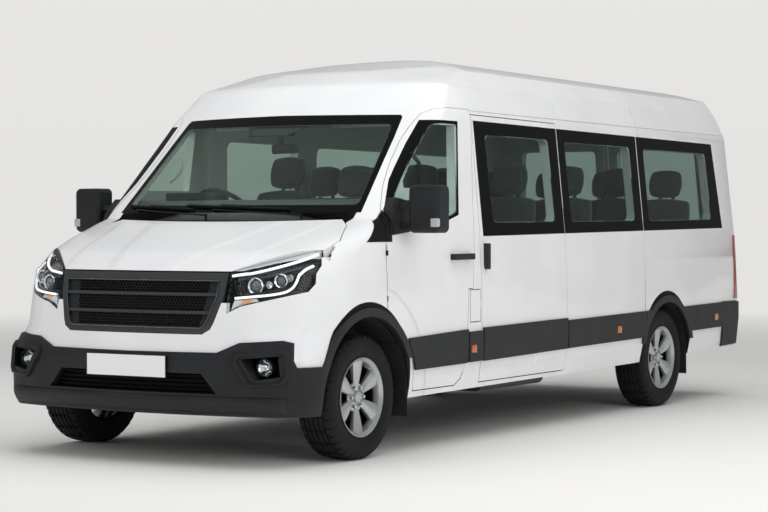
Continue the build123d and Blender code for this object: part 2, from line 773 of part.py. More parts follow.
bumper_end = bumper_edge[-1][1] + seam
rear_bumper_front = 4760.0
left_cladding = [
    arch_ring(0, front_arch, bumper_end),
    arch_ring(wheelbase, rear_arch - 8, belt_low - 4),
]
arch_cut = rod((700, 0, wheel_z), (far, 0, wheel_z), front_arch + 6)
rear_cut = rod((700, wheelbase, wheel_z), (far, wheelbase, wheel_z), rear_arch)
band_rows = [  # from and to, behind the front axle
    (300, door_low_front - door_gap),
    (1066, 1224),
    (split_rear_pillar + 4, split_last - 2),
    (split_last + 2, 3700),
    (3900, rear_bumper_front - 1),
]
for y0, y1 in band_rows:
    low0, low1 = belt_low + 0.0125 * (y0 - 400), belt_low + 0.0125 * (y1 - 400)
    top0, top1 = 626 + 0.0125 * (y0 - 400), 626 + 0.0125 * (y1 - 400)
    strip = side_prism([(y0, low0), (y1, low1), (y1, top1), (y0, top0)], half_width, half_width + belt_proud)
    left_cladding.append(strip - arch_cut - rear_cut - door_space)
with BuildPart() as body_cladding:
    for piece in left_cladding:
        add(piece)
    add(slide_band)
    add(slide_handle)
right_cladding = [across(piece) for piece in left_cladding]
right_cladding.append(across(slide_band))
write(body_cladding.part + right_cladding, "body_cladding")

marker_rows = [(1108, 536), (3031, 560), (4621, 580)]
left_markers = []
for y, z in marker_rows:
    marker_x = (half_width + belt_proud, half_width + belt_proud + 5)
    left_markers.append(block(marker_x, (y - 18, y + 18), (z - 16, z + 16)))
right_markers = [across(piece) for piece in left_markers]
write(left_markers[0] + left_markers[1:] + right_markers, "side_markers")


# tail: bumper, lamps and the pair of rear doors
rear_bumper_line = [(rear_bumper_front, 362), (rear_bumper_rear, 372), (rear_bumper_rear, 668), (4990, 684)]
rear_bumper_line.append((rear_bumper_front, 684))
tail_band = trim_band & side_prism(rear_bumper_line, -far, far)
with BuildPart() as rear_bumper:
    add(tail_band)
write(rear_bumper.part, "rear_bumper")

lamp_shape = front_prism([(894, 700), (1040, 700), (1040, 1160), (905, 1160)], 4980, 5200)
left_tail = (body_volume(-5) - skin) & lamp_shape
right_tail = across(left_tail)
with BuildPart() as tail_lamps:
    add(left_tail)
    add(right_tail)
write(tail_lamps.part, "tail_lamps")

rear_hinge_x = rear_door_edge + 6.0
rear_hinge_lean = 0.08  # the hinge line leans forward with the doors
rear_meeting = 5.0
rear_step = 16.0


def rear_pin(height):
    """a point of the left rear door's hinge line"""
    return (rear_hinge_x, rear_plate_y - 2.5 - rear_hinge_lean * (height - 800), height)


rear_leaf = [(rear_meeting, rear_door_low), (rear_door_edge, rear_door_low)]
rear_leaf += [(rear_door_edge - rear_door_taper, rear_door_high), (rear_meeting, rear_door_high)]
rear_inner = [(x + (rear_step if x == rear_meeting else 0), z) for x, z in rear_leaf]
rear_window = [(90, 1225), (740, 1225), (712, 1790), (90, 1790)]
rear_pane_form = front_prism([(62, 1195), (772, 1195), (742, 1822), (62, 1822)], 4700, 5300)
left_rear_pane = glass_band & rear_pane_form
left_rear_shell = (wall_band & front_prism(rear_inner, 4700, 5300)) + (panel_band & front_prism(rear_leaf, 4700, 5300))
left_rear_shell = left_rear_shell - left_rear_pane
left_rear_shell = left_rear_shell - front_prism(rear_window, 4700, 5300, rounding=40)
rear_knuckles = []
rear_brackets = []
for height in (800, 1120):
    x, y, z = rear_pin(height)
    fixed, moving = hinge((x, behind(y), z), (0, -rear_hinge_lean, 1), 8, 4, 30, 30)
    bracket = block((x, x + 21), (y - 60, y + 4), (height, height + 29)) - skin
    strap = block((x - 70, x), (y - 60, y + 4), (height + 31.5, height + 60)) - skin
    bore = rod(rear_pin(height), rear_pin(height + 70), 4 + pivot_gap)
    rear_knuckles.append(moving + (strap - bore))
    rear_brackets.append(fixed + bracket)
left_rear_shell = left_rear_shell + rear_knuckles
for side in ("left", "right"):
    shell, pane = left_rear_shell, left_rear_pane
    if side == "right":
        shell, pane = across(shell), across(pane)
    write(shell, f"rear_door_{side}")
    write(pane, f"rear_door_glass_{side}")
right_brackets = [across(piece) for piece in rear_brackets]

# fuel flap in its pocket on the left side
flap_axis = (half_width, 1208 + 3.0)
flap_leaf = block((half_width - 8, half_width), (1098, 1207.6), (692, 872))
flap_pin = 1.2
flap_fixed, flap_moving = hinge((half_width, behind(flap_axis[1]), 770), (0, 0, 1), 2.4, flap_pin, 20, 20)
flap_bridge = block((half_width - 6, half_width), (1204, flap_axis[1] - 1), (790.3, 810.3))
flap_bridge = flap_bridge - rod((half_width, flap_axis[1], 780), (half_width, flap_axis[1], 820), flap_pin + pivot_gap)
flap_bracket = block((half_width - 14, half_width), (flap_axis[1] + 0.5, 1216), (770, 790))
write(flap_leaf + flap_moving + flap_bridge, "fuel_flap")
write(left_body + rear_brackets + (flap_fixed + flap_bracket), "body_side_left")
write(right_body + right_brackets, "body_side_right")


# floor with the front wheel housings and the rear wheel boxes
cabin_half = half_width - wall - seat_gap
door_side = cabin_half - 32
floor_front = bulkhead_y[1] + seat_gap
floor_rear = 5020.0
floor_low = floor_top - floor_thick
sheet = 6.0
box_y = (wheelbase - 440, wheelbase + 440)
box_top = 790.0
box_inner = 640.0
liner = 4.0


def both(part):
    """a part of the left side together with its mirror image"""
    return part + across(part)


housing = rod((wheel_side, 0, wheel_z), (door_side, 0, wheel_z), front_arch + liner + 2 + sheet)
housing = housing & block((0, far), (floor_front, 500), (floor_low, 1000))
housing_space = rod((wheel_side + sheet, 0, wheel_z), (far, 0, wheel_z), front_arch + liner + 2)
floor_half = block((0, cabin_half), (floor_front, floor_rear), (floor_low, floor_top)) - housing_space
floor_half = floor_half + (housing - housing_space)
floor_half = floor_half + block((wheel_side, wheel_side + sheet), (floor_front, 350), (floor_low, floor_top))
floor_half = floor_half - block((door_side, far), (0, slide_front), (0, 1000))
floor_half = floor_half + block((box_inner, cabin_half), box_y, (floor_low, box_top))
wheel_box = block((box_inner + sheet, far), (box_y[0] + sheet, box_y[1] - sheet), (300, box_top - sheet))
write(both(floor_half - wheel_box), "floor")

# chassis rails and cross members
rail_x = (440.0, 500.0)
rail_low = floor_low - 150
rail_top = floor_low - 50
cross_low = floor_low - 60
rail_front = -560.0
chassis = block(rail_x, (rail_front, 5010), (rail_low, rail_top))
for y in (450, 1250, 2250, 3060, 4560, 4940):
    chassis = chassis + block((0, 925), (y, y + 60), (cross_low, floor_low))
chassis = chassis + block((0, rail_x[0] + 10), (rail_front, rail_front + 60), (rail_low, rail_top))
write(both(chassis), "chassis_frame")

engine_block = block((-330, 390), (-430, 60), (360, 900))
engine_block = engine_block + block((-rail_x[0] + seat_gap, rail_x[0] - seat_gap), (-60, 0), (420, 480))
write(engine_block, "engine")

# front axle: subframe, lower arms and spring towers are fixed, the knuckles turn about an inclined line
king_low = Vector(790, 0, 232)
king_high = Vector(662, 0, 940)
king_line = (king_high - king_low).normalized()


def on_king(height):
    """a point of the left steering line"""
    point = king_low + king_line * ((height - king_low.Z) / king_line.Z)
    return (point.X, point.Y, point.Z)


subframe_low = 226.0
left_front = [
    block((0, rail_x[1]), (-200, 200), (subframe_low, subframe_low + 48)),
    block(rail_x, (-200, 200), (subframe_low, rail_low)),
    rod((470, -110, 250), on_king(204), 16),
    rod((470, 110, 250), on_king(204), 16),
    rod(on_king(200), on_king(232), 22),
    block(rail_x, (-85, 85), (rail_top, 966)),
    block((rail_x[0], 720), (-70, 70), (952, 966)),
    rod(on_king(940), on_king(960), 58),
]
suspension = left_front[0]
for piece in left_front[1:]:
    suspension = suspension + piece
write(both(suspension), "front_suspension")

stub_end = 906.0
stub_radius = 26.0
hub_face = 850.0
left_knuckle = rod(on_king(232 + seat_gap), on_king(wheel_z), 22)
left_knuckle = left_knuckle + rod((752, 0, wheel_z), (hub_face, 0, wheel_z), 62)
left_knuckle = left_knuckle + rod((hub_face, 0, wheel_z), (stub_end, 0, wheel_z), stub_radius)
left_knuckle = left_knuckle + rod((826, 0, wheel_z), (848, 0, wheel_z), 140)
left_knuckle = left_knuckle + rod((775, 0, wheel_z + 20), (702, 0, 470), 24)
left_knuckle = left_knuckle + rod((702, 0, 450), on_king(900), 24)
left_knuckle = left_knuckle + rod((690, 0, 640), (676, 0, 880), 56)
left_knuckle = left_knuckle + rod(on_king(890), on_king(940 - seat_gap), 24)
write(left_knuckle, "knuckle_left")
write(across(left_knuckle), "knuckle_right")

# rear axle on leaf springs, with its dampers
leaf_low = wheel_z + 36
axle = rod((0, wheelbase, wheel_z), (790, wheelbase, wheel_z), 38)
axle = axle + rod((785, wheelbase, wheel_z), (hub_face, wheelbase, wheel_z), 130)
axle = axle + rod((840, wheelbase, wheel_z), (stub_end, wheelbase, wheel_z), stub_radius)
axle = axle + block((570, 630), (wheelbase - 620, wheelbase + 620), (leaf_low, leaf_low + 26))
for y in (wheelbase - 620, wheelbase + 580):
    axle = axle + block((rail_x[1], 630), (y, y + 40), (leaf_low, rail_top))
axle = axle + rod((540, wheelbase + 30, wheel_z + 10), (540, wheelbase + 150, floor_low - 26), 24)
write(both(axle), "rear_axle")

exhaust_z = 310.0
pipe = rod((-360, 300, exhaust_z), (-360, 3000, exhaust_z), 30)
pipe = pipe + rod((-360, 1500, exhaust_z), (-360, 2250, exhaust_z), 85)
pipe = pipe + rod((-340, 2980, exhaust_z), (-820, 3130, exhaust_z), 30)
for y in (480, 2280, 3090):
    x_near = -360 if y < 3000 else -690
    pipe = pipe + block((x_near - 20, x_near + 20), (y - 12, y + 12), (exhaust_z, cross_low))
write(pipe, "exhaust")

with BuildPart() as fuel_tank:
    add(block((530, 900), (1420, 2200), (262, floor_low - seat_gap)))
    fillet(fuel_tank.edges().filter_by(Axis.Y), 40)
write(fuel_tank.part, "fuel_tank")


# wheel arch liners with mud flaps
flap_outer = 916.0


def arch_liner(distance, radius, x_inner, x_outer):
    shell = rod((x_inner, distance, wheel_z), (x_outer, distance, wheel_z), radius + liner)
    shell = shell - rod((x_inner - 10, distance, wheel_z), (far, distance, wheel_z), radius)
    shell = shell - block((0, far), (distance - 600, distance + 600), (-200, wheel_z))
    flap_y = distance + radius
    flap = block((x_inner + 60, flap_outer), (flap_y, flap_y + liner), (216, wheel_z + 20))
    return shell + flap


front_liner = arch_liner(0, front_arch - liner - seat_gap, 770, half_width - 34) & panel_line
rear_liner = arch_liner(wheelbase, rear_arch - liner - seat_gap, 700, half_width - 34)
liners = [front_liner, rear_liner, across(front_liner), across(rear_liner)]
write(liners[0] + liners[1:], "arch_liners")

# dashboard with the steering column shroud, and the steering wheel
dash_line = [(100, 1275), (320, 1386), (400, 1392), (520, 1368), (575, 1290), (560, 1050), (450, 950)]
dash_line += [(trough_rear + seat_gap, 950), (trough_rear + seat_gap, 1275)]
wheel_centre = Vector(-450, 720, 1320)
column = Vector(0, 1, 1).normalized()
column_radius = 36.0


def on_column(distance):
    """a point of the steering column, ahead of the wheel's centre"""
    point = wheel_centre - column * distance
    return (point.X, point.Y, point.Z)


cabin_clear = body_volume(wall + 8)
dash_form = side_prism(dash_line, -900, 900) & cabin_clear
column_pin = 12.0
dash_form = dash_form + rod(on_column(260), on_column(60), column_radius)
dash_form = dash_form - rod(on_column(110), on_column(50), column_pin + pivot_gap)
write(dash_form, "dashboard")

rim_plane = Plane(origin=(wheel_centre.X, behind(wheel_centre.Y), wheel_centre.Z), x_dir=(1, 0, 0), z_dir=column)
with BuildPart() as steering_wheel:
    with BuildSketch(Plane(rim_plane.origin, x_dir=rim_plane.x_dir, z_dir=rim_plane.y_dir)):
        with Locations((186, 0)):
            Circle(14)
    revolve(axis=Axis(rim_plane.origin, column))
    with BuildSketch(rim_plane.offset(-60 + seat_gap)):
        Circle(44)
    extrude(amount=64)
    with BuildSketch(rim_plane.offset(-22)):
        for angle in (0, 180, 270):
            with Locations(Rotation(0, 0, angle)):
                with Locations((110, 0)):
                    Rectangle(150, 34)
    extrude(amount=18)
    with BuildSketch(rim_plane.offset(-108)):
        Circle(column_pin)
    extrude(amount=60)
write(steering_wheel.part, "steering_wheel")

# seats: cushion, back and head rest of each, and the frames that carry them
seat_width = 440.0
seat_depth = 440.0
pad = 110.0
back_pad = 85.0
lean = 12.0
base_drop = 24.0
plate_thick = 14.0
seat_rows = [  # across, back's foot behind the front axle, cushion top, head rest top, leg across
    (-450, 1275, 1030, 1660, -450),
    (75, 1250, 1030, 1600, 75),
    (520, 1250, 1030, 1600, 520),
]
for y in (2060, 2840, 3620):
    for x, leg in ((-690, -590), (-235, -235), (690, 590)):
        seat_rows.append((x, y, 1040, 1620, leg))
for x, leg in ((-690, -590), (-232, -232), (232, 232), (690, 590)):
    seat_rows.append((x, 4400, 1040, 1620, leg))


def leaning(x_pair, foot, height_pair, thickness, gap):
    """a slab that leans back from its foot by the seat's angle, gap in front of its back plane"""
    run = math.tan(math.radians(lean))
    low, high = height_pair
    front = foot - gap - thickness
    shift = (high - low) * run
    line = [(front, low), (foot - gap, low), (foot - gap + shift, high), (front + shift, high)]
    return side_prism(line, *x_pair)


cushions = []
frames = []
for x, foot, top, high, leg in seat_rows:
    half = seat_width / 2 - 6
    low = top - pad
    shoulder = high - 200
    cushion_rear = foot - back_pad - seat_gap * 2
    cushion = block((x - half, x + half), (cushion_rear - seat_depth, cushion_rear), (low, top))
    cushion = fillet(cushion.edges(), 24)
    back = leaning((x - half, x + half), foot, (low, shoulder), back_pad, seat_gap)
    back = fillet(back.edges(), 24)
    head_foot = foot + (shoulder + 18 - low) * math.tan(math.radians(lean))
    head = leaning((x - 125, x + 125), head_foot, (shoulder + 18, high), back_pad - 10, seat_gap)
    head = fillet(head.edges(), 24)
    cushions.append([cushion, back, head])
    plate_foot = foot + plate_thick - base_drop * math.tan(math.radians(lean))
    base_z = (low - base_drop, low - seat_gap)
    frame = block((x - half + 30, x + half - 30), (cushion_rear - seat_depth + 30, foot), base_z)
    plate_z_pair = (low - base_drop, shoulder - 60)
    frame = frame + leaning((x - half + 30, x + half - 30), plate_foot, plate_z_pair, plate_thick, 0)
    for bar_x in (x - 60, x + 40):
        bar_z = (low - base_drop, shoulder + 120)
        frame = frame + leaning((bar_x, bar_x + 20), plate_foot, bar_z, plate_thick, 0)
    frame = frame + block((leg - 34, leg + 34), (foot - 420, foot - 60), (floor_top, low - 20))
    frames.append(frame)
front_pads = [piece for group in cushions[:3] for piece in group]
rear_pads = [piece for group in cushions[3:] for piece in group]
write(front_pads[0] + front_pads[1:], "front_seats")
write(rear_pads[0] + rear_pads[1:], "passenger_seats")
write(frames[0] + frames[1:], "seat_frames")

# road wheels: tyres and rims
bead = rim_radius + seat_gap
tyre_half = tyre_width / 2
tyre_line = [(bead, 90), (bead + 12, 95), (248, tyre_half - 2), (286, tyre_half), (314, tyre_half - 4), (328, 92), (tyre_radius, 74)]
spoke_count = 6
lip_radius = 212.0


def tyre_at(x, y):
    half = [(offset_x, radius) for radius, offset_x in tyre_line]
    line = half + [(-a, r) for a, r in reversed(half)]
    plane = Plane(origin=(x, behind(y), 0), x_dir=(1, 0, 0), z_dir=(0, -1, 0))
    with BuildPart() as tyre:
        with BuildSketch(plane):
            with BuildLine():
                Polyline(*[(a, wheel_z + r) for a, r in line], close=True)
            make_face()
        revolve(axis=Axis((x, behind(y), wheel_z), (1, 0, 0)))
    return tyre.part


def wheel_windows(y):
    """what is cut out between the spokes"""
    face = Plane(origin=(hub_face + 2, behind(y), wheel_z), x_dir=(0, 1, 0), z_dir=(1, 0, 0))
    with BuildPart() as windows:
        for index in range(spoke_count):
            turn = math.radians(360 * index / spoke_count)
            corners = [(98, -20), (180, -58), (180, 58), (98, 20)]
            turned = [
                (a * math.cos(turn) - b * math.sin(turn), a * math.sin(turn) + b * math.cos(turn)) for a, b in corners
            ]
            with BuildSketch(face) as window:
                with BuildLine():
                    Polyline(*turned, close=True)
                make_face()
                fillet(window.vertices(), 12)
            extrude(amount=150)
    return windows.part


def rim_at(y):
    """the left rim: barrel with lips, dished disc with windows between the spokes, and hub"""
    plane = Plane(origin=(wheel_x, behind(y), 0), x_dir=(1, 0, 0), z_dir=(0, -1, 0))
    barrel = [(-101, 190), (-101, lip_radius), (-95.4, lip_radius), (-95.4, rim_radius), (95.4, rim_radius)]
    barrel += [(95.4, lip_radius), (103, lip_radius), (103, 199), (90, 194), (86, 190)]
    front = stub_end + 5 - wheel_x
    hub = hub_face + seat_gap - wheel_x
    disc = [(hub, stub_radius + pivot_gap), (hub, 78), (40, 84), (58, 150), (70, 196), (92, 196), (76, 140), (64, 84)]
    disc += [(front + 18, 66), (front + 18, 34), (front + 24, 30), (front + 24, 0), (front - 4.7, 0)]
    disc += [(front - 4.7, stub_radius + pivot_gap)]
    with BuildPart() as rim:
        for line in (barrel, disc):
            with BuildSketch(plane):
                with BuildLine():
                    Polyline(*[(a, wheel_z + r) for a, r in line], close=True)
                make_face()
            revolve(axis=Axis((wheel_x, behind(y), wheel_z), (1, 0, 0)))
    return rim.part - wheel_windows(y)


for end, y in (("front", 0.0), ("rear", wheelbase)):
    rim = rim_at(y)
    write(rim, f"rim_{end}_left")
    write(across(rim), f"rim_{end}_right")
    write(tyre_at(wheel_x, y), f"tyre_{end}_left")
    write(tyre_at(-wheel_x, y), f"tyre_{end}_right")
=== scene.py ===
import math
import bpy
import bmesh
from mathutils import Matrix, Vector
from mathutils.bvhtree import BVHTree


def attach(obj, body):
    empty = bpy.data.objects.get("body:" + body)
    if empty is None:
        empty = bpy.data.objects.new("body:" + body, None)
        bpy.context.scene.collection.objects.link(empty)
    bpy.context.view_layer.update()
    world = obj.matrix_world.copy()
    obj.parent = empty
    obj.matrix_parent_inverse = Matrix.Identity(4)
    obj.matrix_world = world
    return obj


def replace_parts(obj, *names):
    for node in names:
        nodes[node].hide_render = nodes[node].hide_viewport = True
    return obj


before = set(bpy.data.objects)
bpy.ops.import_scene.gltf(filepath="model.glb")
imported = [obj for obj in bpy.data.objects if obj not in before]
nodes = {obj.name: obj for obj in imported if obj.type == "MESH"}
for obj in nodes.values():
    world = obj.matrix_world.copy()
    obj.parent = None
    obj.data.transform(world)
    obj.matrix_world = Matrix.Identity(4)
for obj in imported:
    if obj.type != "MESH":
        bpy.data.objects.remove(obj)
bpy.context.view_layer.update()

axleY = -2.164  # front axle, every length below is measured behind it
print("frame loaded:", len(nodes), "nodes")


def behind(distance):
    return axleY + distance


def linear(hexColour):
    channels = [int(hexColour[i:i + 2], 16) / 255 for i in (0, 2, 4)]
    return tuple(c / 12.92 if c <= 0.04045 else ((c + 0.055) / 1.055) ** 2.4 for c in channels) + (1.0,)


def wire(tree, node, links):
    # a hex string is a colour, and a node stands for its first output in use
    for name, value in links.items():
        if isinstance(value, str):
            value = linear(value)
        if isinstance(value, bpy.types.Node):
            value = next(output for output in value.outputs if output.enabled)
        if isinstance(value, bpy.types.NodeSocket):
            tree.links.new(value, node.inputs[name])
        else:
            node.inputs[name].default_value = value


def addNode(tree, kind, settings=None, links=None):
    node = tree.nodes.new(kind)
    for name, value in (settings or {}).items():
        setattr(node, name, value)
    wire(tree, node, links or {})
    return node


def newMaterial(name, surface):
    material = bpy.data.materials.new(name)
    material.use_nodes = True
    tree = material.node_tree
    shader = tree.nodes["Principled BSDF"]
    wire(tree, shader, surface)
    place = addNode(tree, "ShaderNodeTexCoord").outputs["Object"]
    return material, tree, shader, place


# Materials. A noise's or a wave's scale is 1000 over its size in millimetres, a bump's distance is millimetres
# over 1000, and Math, Mix and Map Range nodes are written out where they are used.
soft = {"interpolation_type": "SMOOTHSTEP"}
colourMix = {"data_type": "RGBA"}


def inwardFacing(tree, place, centreHeight, bias):
    # 1 where a face looks towards the middle of the cabin
    normal = addNode(tree, "ShaderNodeTexCoord").outputs["Normal"]
    centre = addNode(tree, "ShaderNodeVectorMath", {"operation": "SUBTRACT"}, {0: place, 1: (0, 0, centreHeight)})
    scaled = addNode(tree, "ShaderNodeVectorMath", {"operation": "MULTIPLY"}, {0: centre, 1: (1, 0.2, 1)})
    facing = addNode(tree, "ShaderNodeVectorMath", {"operation": "DOT_PRODUCT"}, {0: scaled, 1: normal})
    return addNode(tree, "ShaderNodeMath", {"operation": "LESS_THAN"}, {0: facing, 1: bias})


def sideCreases(tree, place):
    # pressed form of the sides: a soft flare round the front wheel, a waist crease and a sill crease, in millimetres
    x, y, z = addNode(tree, "ShaderNodeSeparateXYZ", {}, {0: place}).outputs
    fromAxle = addNode(tree, "ShaderNodeMath", {"operation": "SUBTRACT"}, {0: y, 1: axleY})
    high = addNode(tree, "ShaderNodeMath", {"operation": "SUBTRACT"}, {0: z, 1: 0.334})
    highSquared = addNode(tree, "ShaderNodeMath", {"operation": "MULTIPLY"}, {0: high, 1: high})
    squared = addNode(tree, "ShaderNodeMath", {"operation": "MULTIPLY_ADD"},
                      {0: fromAxle, 1: fromAxle, 2: highSquared})
    radius = addNode(tree, "ShaderNodeMath", {"operation": "SQRT"}, {0: squared})
    flare = addNode(tree, "ShaderNodeMapRange", soft, {"Value": radius, "From Min": 0.625, "From Max": 0.592})
    waistHeight = addNode(tree, "ShaderNodeMath", {"operation": "MULTIPLY_ADD"}, {0: fromAxle, 1: 0.012, 2: 0.965})
    overWaist = addNode(tree, "ShaderNodeMath", {"operation": "SUBTRACT"}, {0: z, 1: waistHeight})
    total = addNode(tree, "ShaderNodeMath", {"operation": "MULTIPLY"}, {0: flare, 1: 8.0})
    for value, low, high, depth in ((overWaist, 0.03, -0.012, 5.0), (z, 1.905, 1.885, 4.0), (z, 0.43, 0.405, 3.0)):
        form = addNode(tree, "ShaderNodeMapRange", soft, {"Value": value, "From Min": low, "From Max": high})
        total = addNode(tree, "ShaderNodeMath", {"operation": "MULTIPLY_ADD"}, {0: form, 1: depth, 2: total})
    return total


def bonnetCreases(tree, place):
    # a raised middle between two long creases that spread towards the windscreen, and a lip over the grille
    x, y, z = addNode(tree, "ShaderNodeSeparateXYZ", {}, {0: place}).outputs
    fromAxle = addNode(tree, "ShaderNodeMath", {"operation": "SUBTRACT"}, {0: y, 1: axleY})
    wide = addNode(tree, "ShaderNodeMath", {"operation": "ABSOLUTE"}, {0: x})
    total = 0.0
    for spread, start, low, high, depth in ((0.34, 0.44, 0.035, -0.045, 9.0), (0.22, 0.70, 0.02, -0.03, 5.0)):
        crease = addNode(tree, "ShaderNodeMath", {"operation": "MULTIPLY_ADD"}, {0: fromAxle, 1: spread, 2: start})
        past = addNode(tree, "ShaderNodeMath", {"operation": "SUBTRACT"}, {0: wide, 1: crease})
        form = addNode(tree, "ShaderNodeMapRange", soft, {"Value": past, "From Min": low, "From Max": high})
        total = addNode(tree, "ShaderNodeMath", {"operation": "MULTIPLY_ADD"}, {0: form, 1: depth, 2: total})
    lip = addNode(tree, "ShaderNodeMapRange", soft, {"Value": fromAxle, "From Min": -0.585, "From Max": -0.545})
    return addNode(tree, "ShaderNodeMath", {"operation": "MULTIPLY_ADD"}, {0: lip, 1: 4.0, 2: total})


def paintedShadeAndBlackCorner(tree, place):
    # 1 where the sides are painted near black: painted shade within both wheel openings and in the cowl under the
    #                                           windscreen, and the black trim corner ahead of the front doors'
    #                                           windows
    x, y, z = addNode(tree, "ShaderNodeSeparateXYZ", {}, {0: place}).outputs
    wide = addNode(tree, "ShaderNodeMath", {"operation": "ABSOLUTE"}, {0: x})
    fromAxle = addNode(tree, "ShaderNodeMath", {"operation": "SUBTRACT"}, {0: y, 1: axleY})
    shadeAndBlackTrim = 0.0
    for distance, reach in ((0.0, 0.472), (3.81, 0.420)):
        along = addNode(tree, "ShaderNodeMath", {"operation": "SUBTRACT"}, {0: y, 1: axleY + distance})
        over = addNode(tree, "ShaderNodeMath", {"operation": "SUBTRACT"}, {0: z, 1: 0.40})
        high = addNode(tree, "ShaderNodeMath", {"operation": "MAXIMUM"}, {0: over, 1: 0.0})
        highSquared = addNode(tree, "ShaderNodeMath", {"operation": "MULTIPLY"}, {0: high, 1: high})
        squared = addNode(tree, "ShaderNodeMath", {"operation": "MULTIPLY_ADD"}, {0: along, 1: along, 2: highSquared})
        radius = addNode(tree, "ShaderNodeMath", {"operation": "SQRT"}, {0: squared})
        arch = addNode(tree, "ShaderNodeMapRange", soft,
                       {"Value": radius, "From Min": reach - 0.028, "From Max": reach - 0.032})
        shadeAndBlackTrim = addNode(tree, "ShaderNodeMath", {"operation": "MAXIMUM"}, {0: shadeAndBlackTrim, 1: arch})
    slope = addNode(tree, "ShaderNodeMath", {"operation": "MULTIPLY_ADD"}, {0: fromAxle, 1: 0.68, 2: 1.160})
    overSlope = addNode(tree, "ShaderNodeMath", {"operation": "SUBTRACT"}, {0: z, 1: slope})
    corner = ((overSlope, 0.002, -0.002), (z, 1.156, 1.160), (fromAxle, -0.012, -0.008), (fromAxle, 0.262, 0.258),
              (wide, 0.925, 0.935))
    cowl = ((wide, 0.812, 0.806), (fromAxle, -0.12, -0.11), (fromAxle, 0.40, 0.39), (z, 1.325, 1.318))
    for limits in (corner, cowl):
        area = 1.0
        for value, low, high in limits:
            step = addNode(tree, "ShaderNodeMapRange", soft, {"Value": value, "From Min": low, "From Max": high})
            area = addNode(tree, "ShaderNodeMath", {"operation": "MULTIPLY"}, {0: area, 1: step})
        shadeAndBlackTrim = addNode(tree, "ShaderNodeMath", {"operation": "MAXIMUM"}, {0: shadeAndBlackTrim, 1: area})
    return shadeAndBlackTrim


def whiteEnamel(name, creases=None, shadeAndBlackTrim=None):
    # sprayed enamel under clear lacquer: sharp highlights over a faint orange peel; inner faces are grey lining in
    # the cabin and near black below about 0.86 m; an optional mask paints near-black shade into recesses, with black
    # trim
    material, tree, shader, place = newMaterial(name, {
        "Roughness": 0.34, "IOR": 1.5, "Coat Weight": 0.7, "Coat Roughness": 0.05, "Coat IOR": 1.5})
    dust = addNode(tree, "ShaderNodeTexNoise", {}, {"Vector": place, "Scale": 1000 / 420, "Detail": 3})
    dusty = addNode(tree, "ShaderNodeMapRange", {}, {"Value": dust, "From Min": 0.35, "From Max": 0.65})
    paint = addNode(tree, "ShaderNodeMix", colourMix, {0: dusty, 6: "EDEEF0", 7: "F3F4F5"})
    fleck = addNode(tree, "ShaderNodeTexNoise", {}, {"Vector": place, "Scale": 1000 / 3})
    lining = addNode(tree, "ShaderNodeMix", colourMix, {0: fleck, 6: "C2C4C3", 7: "CDCFCE"})
    height = addNode(tree, "ShaderNodeSeparateXYZ", {}, {0: place}).outputs["Z"]
    low = addNode(tree, "ShaderNodeMapRange", soft, {"Value": height, "From Min": 0.88, "From Max": 0.84})
    lining = addNode(tree, "ShaderNodeMix", colourMix, {0: low, 6: lining, 7: "141516"})
    inside = inwardFacing(tree, place, 1.3, -0.15)
    colour = addNode(tree, "ShaderNodeMix", colourMix, {0: inside, 6: paint, 7: lining})
    if shadeAndBlackTrim:
        # painted shade: the wheel openings and the cowl under the windscreen go near black, as does the black trim
        # corner
        dark = shadeAndBlackTrim(tree, place)
        colour = addNode(tree, "ShaderNodeMix", colourMix, {0: dark, 6: colour, 7: "0B0C0D"})
        inside = addNode(tree, "ShaderNodeMath", {"operation": "MAXIMUM"}, {0: inside, 1: dark})
    orangePeel = addNode(tree, "ShaderNodeTexNoise", {}, {"Vector": place, "Scale": 1000 / 9, "Detail": 1})
    relief = addNode(tree, "ShaderNodeBump", {}, {"Height": orangePeel, "Distance": 0.02 / 1000, "Strength": 0.3})
    if creases:
        relief = addNode(tree, "ShaderNodeBump", {}, {"Height": creases(tree, place), "Distance": 1 / 1000,
                                                      "Strength": 1.0, "Normal": relief})
    wire(tree, shader, {
        "Base Color": colour, "Normal": relief,
        "Roughness": addNode(tree, "ShaderNodeMapRange", {}, {"Value": inside, "To Min": 0.34, "To Max": 0.85}),
        "Coat Weight": addNode(tree, "ShaderNodeMapRange", {}, {"Value": inside, "To Min": 0.7, "To Max": 0.0})})
    return material


def mouldedPlastic(name, dark, pale, grainMm, roughness, depthMm=0.12):
    # polypropylene from a spark-eroded mould: fine leathery grain, a little paler along its sharp outer edges and in
    # broad patches
    material, tree, shader, place = newMaterial(name, {"Roughness": roughness, "IOR": 1.49,
                                                       "Specular IOR Level": 0.35})
    cells = addNode(tree, "ShaderNodeTexVoronoi", {"feature": "SMOOTH_F1"},
                    {"Vector": place, "Scale": 1000 / grainMm})
    broad = addNode(tree, "ShaderNodeTexNoise", {}, {"Vector": place, "Scale": 1000 / 160, "Detail": 3})
    pointed = addNode(tree, "ShaderNodeNewGeometry").outputs["Pointiness"]
    edge = addNode(tree, "ShaderNodeMapRange", {}, {"Value": pointed, "From Min": 0.52, "From Max": 0.62,
                                                    "To Max": 0.5})
    patch = addNode(tree, "ShaderNodeMapRange", {}, {"Value": broad, "From Min": 0.3, "From Max": 0.7, "To Max": 0.6})
    tone = addNode(tree, "ShaderNodeMath", {"operation": "ADD"}, {0: patch, 1: edge})
    wire(tree, shader, {
        "Base Color": addNode(tree, "ShaderNodeMix", colourMix, {0: tone, 6: dark, 7: pale}),
        "Roughness": addNode(tree, "ShaderNodeMapRange", {}, {
            "Value": broad, "From Min": 0.3, "From Max": 0.7,
            "To Min": roughness - 0.05, "To Max": roughness + 0.08}),
        "Normal": addNode(tree, "ShaderNodeBump", {}, {
            "Height": cells.outputs["Distance"], "Distance": depthMm / 1000, "Strength": 0.5})})
    return material


